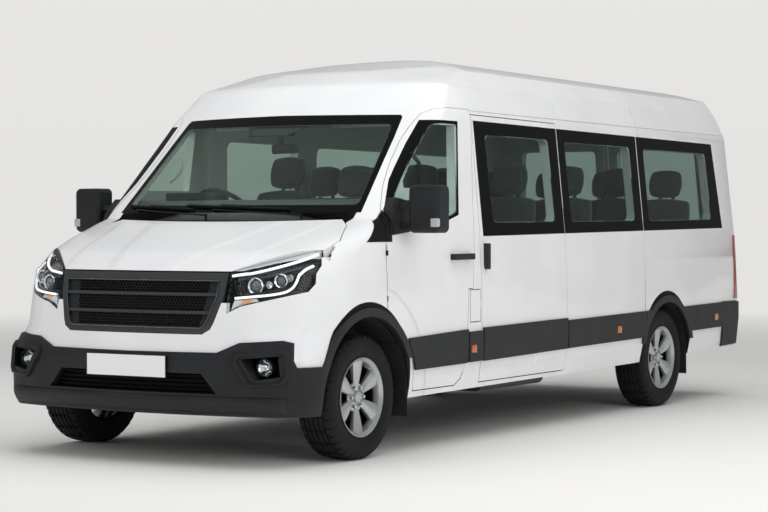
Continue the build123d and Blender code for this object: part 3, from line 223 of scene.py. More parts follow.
def clearPlastic(name, colour, ribMm, axis):
    # injection-moulded polycarbonate lens with ribs inside that spread the light
    material, tree, shader, place = newMaterial(name, {"Roughness": 0.04, "IOR": 1.585, "Transmission Weight": 0.35,
                                                       "Coat Weight": 0.6, "Coat Roughness": 0.03})
    across = addNode(tree, "ShaderNodeSeparateXYZ", {}, {0: place}).outputs[axis]
    turn = addNode(tree, "ShaderNodeMath", {"operation": "MULTIPLY"}, {0: across, 1: 2 * math.pi * 1000 / ribMm})
    rib = addNode(tree, "ShaderNodeMath", {"operation": "SINE"}, {0: turn})
    cloud = addNode(tree, "ShaderNodeTexNoise", {}, {"Vector": place, "Scale": 1000 / 60})
    wire(tree, shader, {
        "Base Color": addNode(tree, "ShaderNodeMix", colourMix, {0: cloud, 6: colour[0], 7: colour[1]}),
        "Normal": addNode(tree, "ShaderNodeBump", {}, {"Height": rib, "Distance": 0.5 / 1000, "Strength": 0.5})})
    return material


def outerLens():
    # hard-coated clear polycarbonate cover
    material, tree, shader, place = newMaterial("clearLensCover", {
        "Roughness": 0.02, "IOR": 1.03, "Transmission Weight": 1.0, "Coat Weight": 0.12, "Coat Roughness": 0.02,
        "Base Color": "F4F7F8"})
    haze = addNode(tree, "ShaderNodeTexNoise", {}, {"Vector": place, "Scale": 1000 / 90})
    wire(tree, shader, {"Roughness": addNode(tree, "ShaderNodeMapRange", {}, {
        "Value": haze, "From Min": 0.3, "From Max": 0.7, "To Min": 0.01, "To Max": 0.04})})
    return material


def brightMetal(name, dark, pale, roughness):
    # vacuum-coated or lacquered bright metal
    material, tree, shader, place = newMaterial(name, {"Metallic": 1.0, "Roughness": roughness})
    tone = addNode(tree, "ShaderNodeTexNoise", {}, {"Vector": place, "Scale": 1000 / 45})
    wire(tree, shader, {
        "Base Color": addNode(tree, "ShaderNodeMix", colourMix, {0: tone, 6: dark, 7: pale}),
        "Roughness": addNode(tree, "ShaderNodeMapRange", {}, {
            "Value": tone, "From Min": 0.3, "From Max": 0.7, "To Min": roughness * 0.8, "To Max": roughness * 1.25})})
    return material


def lacqueredAlloy():
    # cast aluminium wheel in silver paint with fine flakes under lacquer; the barrel behind the spokes is painted
    # near black as painted shade
    material, tree, shader, place = newMaterial("silverLacqueredAlloy", {
        "Metallic": 0.75, "Roughness": 0.34, "Coat Weight": 0.7, "Coat Roughness": 0.08})
    flakes = addNode(tree, "ShaderNodeTexNoise", {}, {"Vector": place, "Scale": 1000 / 1.2, "Detail": 1})
    broad = addNode(tree, "ShaderNodeTexNoise", {}, {"Vector": place, "Scale": 1000 / 70})
    silver = addNode(tree, "ShaderNodeMix", colourMix, {0: broad, 6: "B4B7BA", 7: "C6C9CB"})
    glint = addNode(tree, "ShaderNodeMapRange", {}, {"Value": flakes, "From Min": 0.55, "From Max": 0.8,
                                                     "To Max": 0.35})
    silver = addNode(tree, "ShaderNodeMix", colourMix, {0: glint, 6: silver, 7: "DFE1E2"})
    across = addNode(tree, "ShaderNodeSeparateXYZ", {}, {0: place}).outputs["X"]
    wide = addNode(tree, "ShaderNodeMath", {"operation": "ABSOLUTE"}, {0: across})
    # painted shade: inboard of the spokes the barrel turns near black
    barrelShade = addNode(tree, "ShaderNodeMapRange", soft, {"Value": wide, "From Min": 0.932, "From Max": 0.915})
    wire(tree, shader, {
        "Base Color": addNode(tree, "ShaderNodeMix", colourMix, {0: barrelShade, 6: silver, 7: "1E1F20"}),
        "Roughness": addNode(tree, "ShaderNodeMapRange", {}, {
            "Value": flakes, "From Min": 0.3, "From Max": 0.7, "To Min": 0.3, "To Max": 0.42})})
    return material


def paintedSteel(name, dark, pale, roughness, metallic=0.0):
    # pressed steel with a thin black dip coat, dusty in random patches
    material, tree, shader, place = newMaterial(name, {"Roughness": roughness, "Metallic": metallic})
    dust = addNode(tree, "ShaderNodeTexNoise", {}, {"Vector": place, "Scale": 1000 / 35, "Detail": 4,
                                                    "Roughness": 0.6})
    dusty = addNode(tree, "ShaderNodeMapRange", {}, {"Value": dust, "From Min": 0.4, "From Max": 0.65})
    grain = addNode(tree, "ShaderNodeTexNoise", {}, {"Vector": place, "Scale": 1000 / 2.5})
    wire(tree, shader, {
        "Base Color": addNode(tree, "ShaderNodeMix", colourMix, {0: dusty, 6: dark, 7: pale}),
        "Roughness": addNode(tree, "ShaderNodeMapRange", {}, {
            "Value": dust, "From Min": 0.3, "From Max": 0.7, "To Min": roughness - 0.1, "To Max": roughness + 0.1}),
        "Normal": addNode(tree, "ShaderNodeBump", {}, {"Height": grain, "Distance": 0.1 / 1000, "Strength": 0.3})})
    return material


def tyreRubber():
    # moulded carbon-black rubber: matt, with a faint bloom and fine moulding lines round the sidewall
    material, tree, shader, place = newMaterial("tyreRubber", {"Roughness": 0.72, "IOR": 1.52,
                                                               "Specular IOR Level": 0.35})
    bloom = addNode(tree, "ShaderNodeTexNoise", {}, {"Vector": place, "Scale": 1000 / 55, "Detail": 4})
    pale = addNode(tree, "ShaderNodeMapRange", {}, {"Value": bloom, "From Min": 0.35, "From Max": 0.65})
    grain = addNode(tree, "ShaderNodeTexNoise", {}, {"Vector": place, "Scale": 1000 / 1.6})
    wire(tree, shader, {
        "Base Color": addNode(tree, "ShaderNodeMix", colourMix, {0: pale, 6: "101112", 7: "1B1C1D"}),
        "Roughness": addNode(tree, "ShaderNodeMapRange", {}, {
            "Value": bloom, "From Min": 0.3, "From Max": 0.7, "To Min": 0.66, "To Max": 0.84}),
        "Normal": addNode(tree, "ShaderNodeBump", {}, {"Height": grain, "Distance": 0.15 / 1000, "Strength": 0.4})})
    return material


def wovenCloth():
    # flat woven polyester seat cloth, threads 1.2 mm apart, drawn at 4 mm so that they show
    material, tree, shader, place = newMaterial("wovenSeatCloth", {
        "Roughness": 0.92, "Sheen Weight": 0.35, "Sheen Roughness": 0.5, "Specular IOR Level": 0.2})
    x, y, z = addNode(tree, "ShaderNodeSeparateXYZ", {}, {0: place}).outputs
    height = addNode(tree, "ShaderNodeMath", {"operation": "ADD"}, {0: y, 1: z})
    threads = []
    for along in (x, height):
        turn = addNode(tree, "ShaderNodeMath", {"operation": "MULTIPLY"}, {0: along, 1: 2 * math.pi * 1000 / 4})
        threads.append(addNode(tree, "ShaderNodeMath", {"operation": "SINE"}, {0: turn}))
    weave = addNode(tree, "ShaderNodeMath", {"operation": "MULTIPLY"}, {0: threads[0], 1: threads[1]})
    broad = addNode(tree, "ShaderNodeTexNoise", {}, {"Vector": place, "Scale": 1000 / 60, "Detail": 3})
    cloth = addNode(tree, "ShaderNodeMix", colourMix, {0: broad, 6: "2E3136", 7: "3D4147"})
    raised = addNode(tree, "ShaderNodeMapRange", {}, {"Value": weave, "From Min": -1, "To Max": 0.4})
    wire(tree, shader, {
        "Base Color": addNode(tree, "ShaderNodeMix", colourMix, {0: raised, 6: cloth, 7: "50545A"}),
        "Normal": addNode(tree, "ShaderNodeBump", {}, {"Height": weave, "Distance": 0.4 / 1000, "Strength": 0.5})})
    return material


def floorMat():
    # ribbed vinyl flooring, 6 mm ribs along the vehicle
    material, tree, shader, place = newMaterial("ribbedVinylFloor", {"Roughness": 0.7})
    across = addNode(tree, "ShaderNodeSeparateXYZ", {}, {0: place}).outputs["X"]
    turn = addNode(tree, "ShaderNodeMath", {"operation": "MULTIPLY"}, {0: across, 1: 2 * math.pi * 1000 / 12})
    rib = addNode(tree, "ShaderNodeMath", {"operation": "SINE"}, {0: turn})
    tone = addNode(tree, "ShaderNodeTexNoise", {}, {"Vector": place, "Scale": 1000 / 120, "Detail": 3})
    wire(tree, shader, {
        "Base Color": addNode(tree, "ShaderNodeMix", colourMix, {0: tone, 6: "3A3D40", 7: "4A4D50"}),
        "Normal": addNode(tree, "ShaderNodeBump", {}, {"Height": rib, "Distance": 1.2 / 1000, "Strength": 0.6})})
    return material


def blankPlate():
    # reflective sheet on a pressed aluminium plate, without any lettering
    material, tree, shader, place = newMaterial("blankWhitePlate", {"Roughness": 0.35, "IOR": 1.5,
                                                                    "Coat Weight": 0.4, "Coat Roughness": 0.1})
    fine = addNode(tree, "ShaderNodeTexNoise", {}, {"Vector": place, "Scale": 1000 / 4})
    wire(tree, shader, {"Base Color": addNode(tree, "ShaderNodeMix", colourMix, {0: fine, 6: "F0F1F1", 7: "F8F8F8"})})
    return material


def clearArea(tree, u, v, outline, rounding):
    # distance inside a rounded outline whose corners run clockwise, from its straight sides
    nearest = None
    for start, end in zip(outline, outline[1:] + outline[:1]):
        length = math.hypot(end[0] - start[0], end[1] - start[1])
        nu, nv = (end[1] - start[1]) / length, -(end[0] - start[0]) / length
        along = addNode(tree, "ShaderNodeMath", {"operation": "MULTIPLY"}, {0: u, 1: nu})
        both = addNode(tree, "ShaderNodeMath", {"operation": "MULTIPLY_ADD"}, {0: v, 1: nv, 2: along})
        side = addNode(tree, "ShaderNodeMath", {"operation": "ADD"}, {0: both, 1: -(nu * start[0] + nv * start[1])})
        nearest = side if nearest is None else addNode(
            tree, "ShaderNodeMath", {"operation": "SMOOTH_MIN"}, {0: nearest, 1: side, 2: rounding})
    return nearest


def tintedGlass(name, outlines, side, tint, rounding=0.05):
    # toughened green glass with a fired black ceramic border, softened at its inner edge by a row of fine dots
    material, tree, shader, place = newMaterial(name, {"Roughness": 0.0, "IOR": 1.02, "Specular IOR Level": 0.5,
                                                       "Coat Weight": 0.35, "Coat Roughness": 0.0, "Coat IOR": 1.5})
    x, y, z = addNode(tree, "ShaderNodeSeparateXYZ", {}, {0: place}).outputs
    u = addNode(tree, "ShaderNodeMath", {"operation": "ABSOLUTE"}, {0: x}) if side == "front" else y
    clear = clearArea(tree, u, z, outlines[0], rounding)
    for outline in outlines[1:]:
        inside = clearArea(tree, u, z, outline, rounding)
        clear = addNode(tree, "ShaderNodeMath", {"operation": "MAXIMUM"}, {0: clear, 1: inside})
    waves = []
    for along in (u, z):  # dots 7 mm apart
        turn = addNode(tree, "ShaderNodeMath", {"operation": "MULTIPLY"}, {0: along, 1: 900})
        waves.append(addNode(tree, "ShaderNodeMath", {"operation": "SINE"}, {0: turn}))
    dots = addNode(tree, "ShaderNodeMath", {"operation": "MULTIPLY"}, {0: waves[0], 1: waves[1]})
    dithered = addNode(tree, "ShaderNodeMath", {"operation": "MULTIPLY_ADD"}, {0: dots, 1: 0.003, 2: clear})
    mask = addNode(tree, "ShaderNodeMapRange", {}, {"Value": dithered, "From Min": -0.001, "From Max": 0.001})
    wire(tree, shader, {
        "Base Color": addNode(tree, "ShaderNodeMix", colourMix, {0: mask, 6: "0B0C0D", 7: tint}),
        "Transmission Weight": mask,
        "Roughness": addNode(tree, "ShaderNodeMapRange", {}, {"Value": mask, "To Min": 0.12, "To Max": 0.0})})
    return material


def grillePlastic():
    # grained black polypropylene frame; the surfaces that lie deeper in the opening are painted near black and matt
    # as painted shade
    material, tree, shader, place = newMaterial("grilleBlackPlastic", {"Roughness": 0.45, "IOR": 1.49,
                                                                       "Specular IOR Level": 0.4})
    x, y, z = addNode(tree, "ShaderNodeSeparateXYZ", {}, {0: place}).outputs
    nose = addNode(tree, "ShaderNodeMath", {"operation": "MULTIPLY_ADD"}, {0: z, 1: 0.216, 2: -0.884 + axleY})
    squared = addNode(tree, "ShaderNodeMath", {"operation": "MULTIPLY"}, {0: x, 1: x})
    surface = addNode(tree, "ShaderNodeMath", {"operation": "MULTIPLY_ADD"}, {0: squared, 1: 0.137, 2: nose})
    sunk = addNode(tree, "ShaderNodeMath", {"operation": "SUBTRACT"}, {0: y, 1: surface})
    # painted shade: surfaces sunk about 2 cm behind the nose go near black
    deep = addNode(tree, "ShaderNodeMapRange", soft, {"Value": sunk, "From Min": 0.017, "From Max": 0.021})
    tone = addNode(tree, "ShaderNodeTexNoise", {}, {"Vector": place, "Scale": 1000 / 140, "Detail": 3})
    frameTone = addNode(tree, "ShaderNodeMix", colourMix, {0: tone, 6: "323437", 7: "3E4043"})
    grain = addNode(tree, "ShaderNodeTexNoise", {}, {"Vector": place, "Scale": 1000 / 2.0})
    wire(tree, shader, {
        "Base Color": addNode(tree, "ShaderNodeMix", colourMix, {0: deep, 6: frameTone, 7: "050506"}),
        "Roughness": addNode(tree, "ShaderNodeMapRange", {}, {"Value": deep, "To Min": 0.45, "To Max": 0.9}),
        "Normal": addNode(tree, "ShaderNodeBump", {}, {"Height": grain, "Distance": 0.1 / 1000, "Strength": 0.4})})
    return material


def metres(points):
    return [(behind(y / 1000), z / 1000) for y, z in points]


windscreenClear = [[(-1.0, 1.362), (-1.0, 1.818), (0.722, 1.818), (0.792, 1.362)]]
doorClear = [metres([(285, 1236), (335, 1385), (440, 1497), (800, 1822), (1028, 1822), (976, 1322), (715, 1250)])]
sideClear = [
    metres([(1400, 1262), (1352, 1772), (2148, 1768), (2190, 1264)]),
    metres([(2410, 1265), (2372, 1760), (3312, 1755), (3345, 1268)]),
    metres([(3560, 1268), (3528, 1748), (4562, 1742), (4610, 1275)]),
]
rearClear = [[(0.090, 1.225), (0.090, 1.790), (0.712, 1.790), (0.740, 1.225)]]

enamel = whiteEnamel("whiteEnamel")
sideEnamel = whiteEnamel("whiteEnamelSides", sideCreases, paintedShadeAndBlackCorner)
bonnetEnamel = whiteEnamel("whiteEnamelBonnet", bonnetCreases)
charcoal = mouldedPlastic("charcoalGrainedPlastic", "1C1D1F", "292B2D", 2.2, 0.5)
satinBlack = mouldedPlastic("satinBlackPlastic", "0E0F11", "191A1C", 3.0, 0.4)
greyTrim = mouldedPlastic("greyInteriorTrim", "4A4D50", "5C5F62", 2.5, 0.62)
paleTrim = mouldedPlastic("paleInteriorTrim", "A2A5A4", "B0B3B2", 2.5, 0.62)
linerFelt = mouldedPlastic("wheelHousingLiner", "1B1C1E", "29292B", 4.0, 0.85, 0.4)
rubber = tyreRubber()
flapRubber = mouldedPlastic("mudFlapRubber", "1A1B1C", "262728", 5.0, 0.7, 0.2)
alloy = lacqueredAlloy()
blackSteel = paintedSteel("blackDippedSteel", "1A1B1D", "353534", 0.55)
castIron = paintedSteel("castAxleIron", "2A2B2C", "48443F", 0.6, 0.4)
bareSteel = paintedSteel("aluminisedSteel", "6E6F70", "8C8A86", 0.42, 0.85)
cloth = wovenCloth()
vinyl = floorMat()
plateSheet = blankPlate()
redLens = clearPlastic("redRibbedLens", ("9E0E12", "C2181C"), 5, 2)
amberLens = clearPlastic("amberRibbedLens", ("D9660C", "F08A1C"), 4, 1)
frontGlass = tintedGlass("laminatedWindscreen", windscreenClear, "front", "BCCBC4")
doorGlass = tintedGlass("frontDoorGlass", doorClear, "side", "B9C8C1", 0.04)
sideGlass = tintedGlass("sideWindowGlass", sideClear, "side", "A9B9B3", 0.06)
rearGlass = tintedGlass("rearDoorGlass", rearClear, "front", "A9B9B3", 0.06)

nodeFinish = [  # finish, nodes
    (sideEnamel, "body_side_left body_side_right front_wings front_bumper front_door_left front_door_right "
                 "sliding_door fuel_flap"),
    (bonnetEnamel, "bonnet"),
    (enamel, "roof_front roof_rear rear_door_left rear_door_right"),
    (charcoal, "lower_bumper body_cladding rear_bumper door_trim_left door_trim_right"),
    (grillePlastic(), "grille"),
    (satinBlack, "wipers bulkhead"),
    (frontGlass, "windscreen"),
    (doorGlass, "front_door_glass_left front_door_glass_right"),
    (sideGlass, "side_glass"),
    (rearGlass, "rear_door_glass_left rear_door_glass_right"),
    (redLens, "tail_lamps"),
    (plateSheet, "number_plates"),
    (greyTrim, "dashboard"),
    (satinBlack, "steering_wheel"),
    (cloth, "front_seats passenger_seats"),
    (blackSteel, "seat_frames chassis_frame front_suspension fuel_tank"),
    (castIron, "engine knuckle_left knuckle_right rear_axle"),
    (bareSteel, "exhaust"),
    (linerFelt, "arch_liners"),
    (vinyl, "floor"),
    (alloy, "rim_front_left rim_front_right rim_rear_left rim_rear_right"),
    (rubber, "tyre_front_left tyre_front_right tyre_rear_left tyre_rear_right"),
]


def smoothingModifier():
    # joins the loose triangles of a frame node, then shades it smooth except over its sharp edges
    group = bpy.data.node_groups.new("smoothOverCurves", "GeometryNodeTree")
    group.interface.new_socket("Geometry", in_out="INPUT", socket_type="NodeSocketGeometry")
    group.interface.new_socket("Geometry", in_out="OUTPUT", socket_type="NodeSocketGeometry")
    start = addNode(group, "NodeGroupInput")
    end = addNode(group, "NodeGroupOutput")
    merged = addNode(group, "GeometryNodeMergeByDistance", {}, {"Geometry": start.outputs[0], "Distance": 0.00002})
    angle = addNode(group, "GeometryNodeInputMeshEdgeAngle")
    sharp = addNode(group, "FunctionNodeCompare", {"data_type": "FLOAT", "operation": "GREATER_THAN"},
                    {0: angle.outputs[0], 1: math.radians(28)})
    smooth = addNode(group, "GeometryNodeSetShadeSmooth", {"domain": "FACE"},
                     {"Geometry": merged.outputs[0], "Shade Smooth": True})
    edges = addNode(group, "GeometryNodeSetShadeSmooth", {"domain": "EDGE"},
                    {"Geometry": smooth.outputs[0], "Selection": sharp.outputs[0], "Shade Smooth": False})
    group.links.new(edges.outputs[0], end.inputs[0])
    return group


smoothGroup = smoothingModifier()


def paint(piece, material):
    if not piece.material_slots:
        piece.data.materials.append(material)
    for slot in piece.material_slots:
        slot.material = material


for finish, names in nodeFinish:
    for name in names.split():
        paint(nodes[name], finish)
        smoother = nodes[name].modifiers.new("smoothOverCurves", "NODES")
        smoother.node_group = smoothGroup
        if finish in (frontGlass, doorGlass, sideGlass, rearGlass):
            nodes[name].visible_shadow = False
print("frame nodes finished")


def castTree(*names):
    points, faces = [], []
    for name in names:
        mesh = nodes[name].data
        first = len(points)
        points += [v.co.copy() for v in mesh.vertices]
        faces += [[first + i for i in polygon.vertices] for polygon in mesh.polygons]
    return BVHTree.FromPolygons(points, faces)


def fromFront(tree, x, z, depth=0.0):
    # the point of the nose at this width and height, depth metres under its surface, and its outward normal
    place, normal = tree.ray_cast(Vector((x, -4.0, z)), Vector((0, 1, 0)))[:2]
    if place is None:
        return None, None
    normal = normal if normal.y < 0 else -normal
    return place - normal * depth, normal


def pointsOf(geometry):
    return [g for g in geometry if isinstance(g, bmesh.types.BMVert)]


def addBox(form, size, place, turn=None):
    made = bmesh.ops.create_cube(form, size=1.0)["verts"]
    bmesh.ops.scale(form, vec=size, verts=made)
    if turn:
        bmesh.ops.rotate(form, cent=(0, 0, 0), matrix=turn, verts=made)
    bmesh.ops.translate(form, vec=place, verts=made)
    return made


def roundEdges(form, edges, radius, segments):
    bmesh.ops.bevel(form, geom=edges, offset=radius, segments=segments, affect="EDGES", profile=0.5, material=-1)


def joinRings(form, rings, closed=True):
    # a skin of four-sided faces over rings of points
    for a, b in zip(rings, rings[1:]):
        for k in range(len(a) if closed else len(a) - 1):
            after = (k + 1) % len(a)
            form.faces.new((a[k], a[after], b[after], b[k]))


def thicken(piece, thickness, offset=0):
    wall = piece.modifiers.new("wallThickness", "SOLIDIFY")
    wall.thickness = thickness
    wall.offset = offset


def addPiece(name, form, material, body, smooth=True, sharp=35.0):
    # turns a bmesh into a piece that rides on a body
    mesh = bpy.data.meshes.new(name)
    if smooth:
        for face in form.faces:
            face.smooth = True
        for edge in form.edges:
            if len(edge.link_faces) == 2 and edge.calc_face_angle(0.0) > math.radians(sharp):
                edge.smooth = False
    form.to_mesh(mesh)
    form.free()
    mesh.materials.append(material)
    piece = bpy.data.objects.new(name, mesh)
    bpy.context.scene.collection.objects.link(piece)
    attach(piece, body)
    return piece


def addBar(form, path, width, height, normals, sides=4):
    # a closed bar of this width and height along a path on the surface, its top pointing along the normals
    rings = []
    for i, here in enumerate(path):
        run = (path[min(i + 1, len(path) - 1)] - path[max(i - 1, 0)]).normalized()
        up = (normals[i] - run * normals[i].dot(run)).normalized()
        out = run.cross(up)
        ring = []
        for k in range(sides):
            angle = 2 * math.pi * (k + 0.5) / sides
            reach = 1.0 / max(abs(math.cos(angle)), abs(math.sin(angle))) if sides == 4 else 1.0
            ring.append(form.verts.new(here + out * (math.cos(angle) * reach * width / 2)
                                       + up * (math.sin(angle) * reach * height / 2)))
        rings.append(ring)
    joinRings(form, rings)
    form.faces.new(list(reversed(rings[0])))
    form.faces.new(rings[-1])
    bmesh.ops.recalc_face_normals(form, faces=form.faces)


def turned(form, profile, centre, axis, steps=32):
    # a profile of (radius, height along the axis) spun round the axis
    side = axis.orthogonal().normalized()
    line = [form.verts.new(centre + side * r + axis * h) for r, h in profile]
    edges = [form.edges.new(pair) for pair in zip(line, line[1:])]
    bmesh.ops.spin(form, geom=line + edges, cent=centre, axis=axis, angle=2 * math.pi, steps=steps,
                   use_merge=True, use_duplicate=False)
    bmesh.ops.remove_doubles(form, verts=form.verts, dist=0.00005)
    bmesh.ops.recalc_face_normals(form, faces=form.faces)


def mirrored(form):
    # adds the same shape on the other side of the vehicle
    copy = bmesh.ops.duplicate(form, geom=form.verts[:] + form.edges[:] + form.faces[:])["geom"]
    bmesh.ops.scale(form, vec=(-1, 1, 1), verts=pointsOf(copy))
    bmesh.ops.reverse_faces(form, faces=[g for g in copy if isinstance(g, bmesh.types.BMFace)])


def roundedPath(points, steps=6):
    # a smooth line through these points
    out = []
    for i in range(len(points) - 1):
        a, b, c, d = (points[min(max(i + k, 0), len(points) - 1)] for k in (-1, 0, 1, 2))
        for s in range(steps):
            t = s / steps
            out.append(tuple(0.5 * (2 * q + (r - p) * t + (2 * p - 5 * q + 4 * r - e) * t * t
                                    + (3 * q - p - 3 * r + e) * t ** 3) for p, q, r, e in zip(a, b, c, d)))
    return out + [tuple(points[-1])]


# headlamps: clear cover, sunk housing, light guides, projectors and indicator
headlamp = {
    "coverWall": 0.003, "bowlDepth": 0.075, "bowlWall": 0.0015, "stripWidth": 0.013, "guideWidth": 0.012,
    "ribCount": 9, "finCount": 5,
    "strip": [(0.572, 0.990), (0.686, 1.012), (0.773, 1.038), (0.85, 1.070), (0.905, 1.102)],
    "guide": [(0.917, 1.046), (0.897, 1.026), (0.889, 0.985), (0.880, 0.946), (0.862, 0.919), (0.831, 0.903),
              (0.771, 0.892), (0.686, 0.884), (0.600, 0.876)],
    "indicator": [(0.598, 0.866), (0.712, 0.876), (0.726, 0.860), (0.67, 0.850), (0.613, 0.833), (0.585, 0.815)],
    "projectors": [(0.703, 0.944, 0.044), (0.825, 0.969, 0.037)],  # across, high, radius
    "projectorRing": [(0.72, -0.02), (0.78, 0.006), (0.94, 0.012), (1.0, 0.009), (1.03, -0.004), (1.0, -0.03),
                      (0.72, -0.02)],  # share of the radius, offset outwards
    "projectorLens": [(0, 0.014), (0.3, 0.012), (0.55, 0.006), (0.74, -0.004), (0.74, -0.012), (0, -0.012)],
    "wedges": [(0.772, 0.948), (0.862, 0.982)],  # bright reflectors beside the projectors
    "wedge": [(0, -0.012), (0.012, -0.010), (0.017, 0.004), (0.019, 0.004), (0.019, -0.02), (0, -0.02)],
    "panels": [([(0.60, 0.905), (0.70, 0.901), (0.80, 0.915), (0.853, 0.935)], 0.016, 0.028),
               ([(0.60, 0.972), (0.70, 0.992), (0.80, 1.018), (0.872, 1.043)], 0.012, 0.026)],  # line, width, depth
}
lampTree = castTree("front_lamps")


def lampPoint(x, z, depth):
    return fromFront(lampTree, x, z, depth)


def lampCover():
    # the outer faces of the frame's lamp, as a thin clear cover
    form = bmesh.new()
    form.from_mesh(nodes["front_lamps"].data)
    bmesh.ops.remove_doubles(form, verts=form.verts, dist=0.00002)
    for face in form.faces:
        face.normal_update()
    inner = [f for f in form.faces if f.normal.y > -0.12 or f.calc_center_median().z < 0.7]
    bmesh.ops.delete(form, geom=inner, context="FACES")
    return form


def lampStrip(form, points, width, height, depth, steps=6):
    path, normals = [], []
    for x, z in roundedPath(points, steps):
        place, normal = lampPoint(x, z, depth)
        if place is not None:
            path.append(place)
            normals.append(normal)
    addBar(form, path, width, height, normals)


coverForm = lampCover()
bowlForm = coverForm.copy()
cover = addPiece("headlampCovers", coverForm, outerLens(), "body")
thicken(cover, headlamp["coverWall"], -1)
cover.visible_shadow = False

# housing bowl: the same outline sunk behind the cover, with its walls
shell = bmesh.ops.extrude_face_region(bowlForm, geom=bowlForm.faces[:])["geom"]
pushed = pointsOf(shell)
old = [f for f in bowlForm.faces if all(v not in pushed for v in f.verts)]
bmesh.ops.delete(bowlForm, geom=old, context="FACES_ONLY")
for point in pushed:
    point.co += Vector((-0.35 * math.copysign(1, point.co.x), 1, 0)).normalized() * headlamp["bowlDepth"]
for point in bowlForm.verts:
    if point not in pushed:
        point.co.y += 0.001
bmesh.ops.remove_doubles(bowlForm, verts=bowlForm.verts, dist=0.00002)
bowl = addPiece("headlampHousings", bowlForm, mouldedPlastic("headlampHousingPlastic", "101113", "1C1D20", 1.6, 0.3),
                "body")
thicken(bowl, headlamp["bowlWall"])

guideForm = bmesh.new()
lampStrip(guideForm, headlamp["strip"], headlamp["stripWidth"], 0.008, 0.009)
lampStrip(guideForm, headlamp["guide"], headlamp["guideWidth"], 0.010, 0.012)
mirrored(guideForm)
# milky acrylic rod, faintly lit from within
opal, tree, shader, place = newMaterial("opalLightGuide", {
    "Roughness": 0.25, "IOR": 1.49, "Coat Weight": 0.5, "Coat Roughness": 0.05, "Emission Strength": 0.35,
    "Emission Color": "FFFFFF"})
milk = addNode(tree, "ShaderNodeTexNoise", {}, {"Vector": place, "Scale": 1000 / 25})
wire(tree, shader, {"Base Color": addNode(tree, "ShaderNodeMix", colourMix, {0: milk, 6: "E4E8EA", 7: "F6F8F8"})})
addPiece("headlampLightGuides", guideForm, opal, "body")

# ribbed dark trim outboard of the guide, and a finned panel round the projectors
ribForm = bmesh.new()
for i in range(headlamp["ribCount"]):
    t = i / (headlamp["ribCount"] - 1)
    top, low = (0.912 + 0.02 * t, 1.038 - 0.045 * t), (0.893 + 0.033 * t, 0.925 + 0.01 * t)
    lampStrip(ribForm, [top, ((top[0] + low[0]) / 2, (top[1] + low[1]) / 2), low], 0.003, 0.008, 0.02, 3)
for i in range(headlamp["finCount"]):
    x = 0.585 + i * 0.012
    lampStrip(ribForm, [(x, 0.968), (x + 0.02, 0.90)], 0.003, 0.01, 0.022, 4)
for line, width, depth in headlamp["panels"]:
    lampStrip(ribForm, line, width, 0.01, depth)
mirrored(ribForm)
addPiece("headlampRibbedTrim", ribForm, bpy.data.materials["headlampHousingPlastic"], "body")

chrome = brightMetal("vacuumCoatedReflector", "C9CCCE", "E6E8E9", 0.12)
projectorForm, lensForm = bmesh.new(), bmesh.new()
for x, z, radius in headlamp["projectors"]:
    centre = lampPoint(x, z, 0.034)[0]
    for form, part, steps in ((projectorForm, "projectorRing", 40), (lensForm, "projectorLens", 32)):
        profile = [(share * radius, offset) for share, offset in headlamp[part]]
        turned(form, profile, centre, Vector((0.12, -1, 0)).normalized(), steps)
for x, z in headlamp["wedges"]:
    turned(projectorForm, headlamp["wedge"], lampPoint(x, z, 0.03)[0], Vector((0.1, -1, 0)).normalized(), 24)
mirrored(projectorForm)
mirrored(lensForm)
addPiece("headlampProjectorRings", projectorForm, chrome, "body")
# pressed and polished glass, dark because little light comes back out of it
bulbGlass, tree, shader, place = newMaterial("polishedProjectorGlass", {
    "Roughness": 0.0, "IOR": 1.52, "Transmission Weight": 0.6, "Coat Weight": 0.5, "Coat Roughness": 0.0})
cloud = addNode(tree, "ShaderNodeTexNoise", {}, {"Vector": place, "Scale": 1000 / 30})
wire(tree, shader, {"Base Color": addNode(tree, "ShaderNodeMix", colourMix, {0: cloud, 6: "5C646A", 7: "8A9298"})})
addPiece("headlampProjectorLenses", lensForm, bulbGlass, "body")

indicatorForm = bmesh.new()
corners = [lampPoint(x, z, 0.012)[0] for x, z in headlamp["indicator"]]
face = indicatorForm.faces.new([indicatorForm.verts.new(c) for c in corners])
bmesh.ops.recalc_face_normals(indicatorForm, faces=[face])
block = bmesh.ops.extrude_face_region(indicatorForm, geom=[face])["geom"]
bmesh.ops.translate(indicatorForm, vec=(0, 0.018, 0), verts=pointsOf(block))
roundEdges(indicatorForm, indicatorForm.edges[:], 0.0015, 2)
bmesh.ops.recalc_face_normals(indicatorForm, faces=indicatorForm.faces)
mirrored(indicatorForm)
# clear moulded prisms 7 mm wide, warm where the amber bulb stands behind them
indicatorLens, tree, shader, place = newMaterial("clearIndicatorLens", {
    "Roughness": 0.08, "IOR": 1.585, "Transmission Weight": 0.2, "Coat Weight": 0.6, "Coat Roughness": 0.03})
across = addNode(tree, "ShaderNodeSeparateXYZ", {}, {0: place}).outputs["X"]
wide = addNode(tree, "ShaderNodeMath", {"operation": "ABSOLUTE"}, {0: across})
past = addNode(tree, "ShaderNodeMath", {"operation": "SUBTRACT"}, {0: wide, 1: 0.665})
fromBulb = addNode(tree, "ShaderNodeMath", {"operation": "ABSOLUTE"}, {0: past})
bulb = addNode(tree, "ShaderNodeMapRange", {}, {"Value": fromBulb, "From Min": 0.015, "From Max": 0.05,
                                                "To Min": 1, "To Max": 0})
turn = addNode(tree, "ShaderNodeMath", {"operation": "MULTIPLY"}, {0: across, 1: 2 * math.pi * 1000 / 7})
prism = addNode(tree, "ShaderNodeMath", {"operation": "SINE"}, {0: turn})
wire(tree, shader, {
    "Base Color": addNode(tree, "ShaderNodeMix", colourMix, {0: bulb, 6: "C9CDD0", 7: "D99A66"}),
    "Normal": addNode(tree, "ShaderNodeBump", {}, {"Height": prism, "Distance": 1 / 1000, "Strength": 0.6})})
addPiece("headlampIndicators", indicatorForm, indicatorLens, "body")
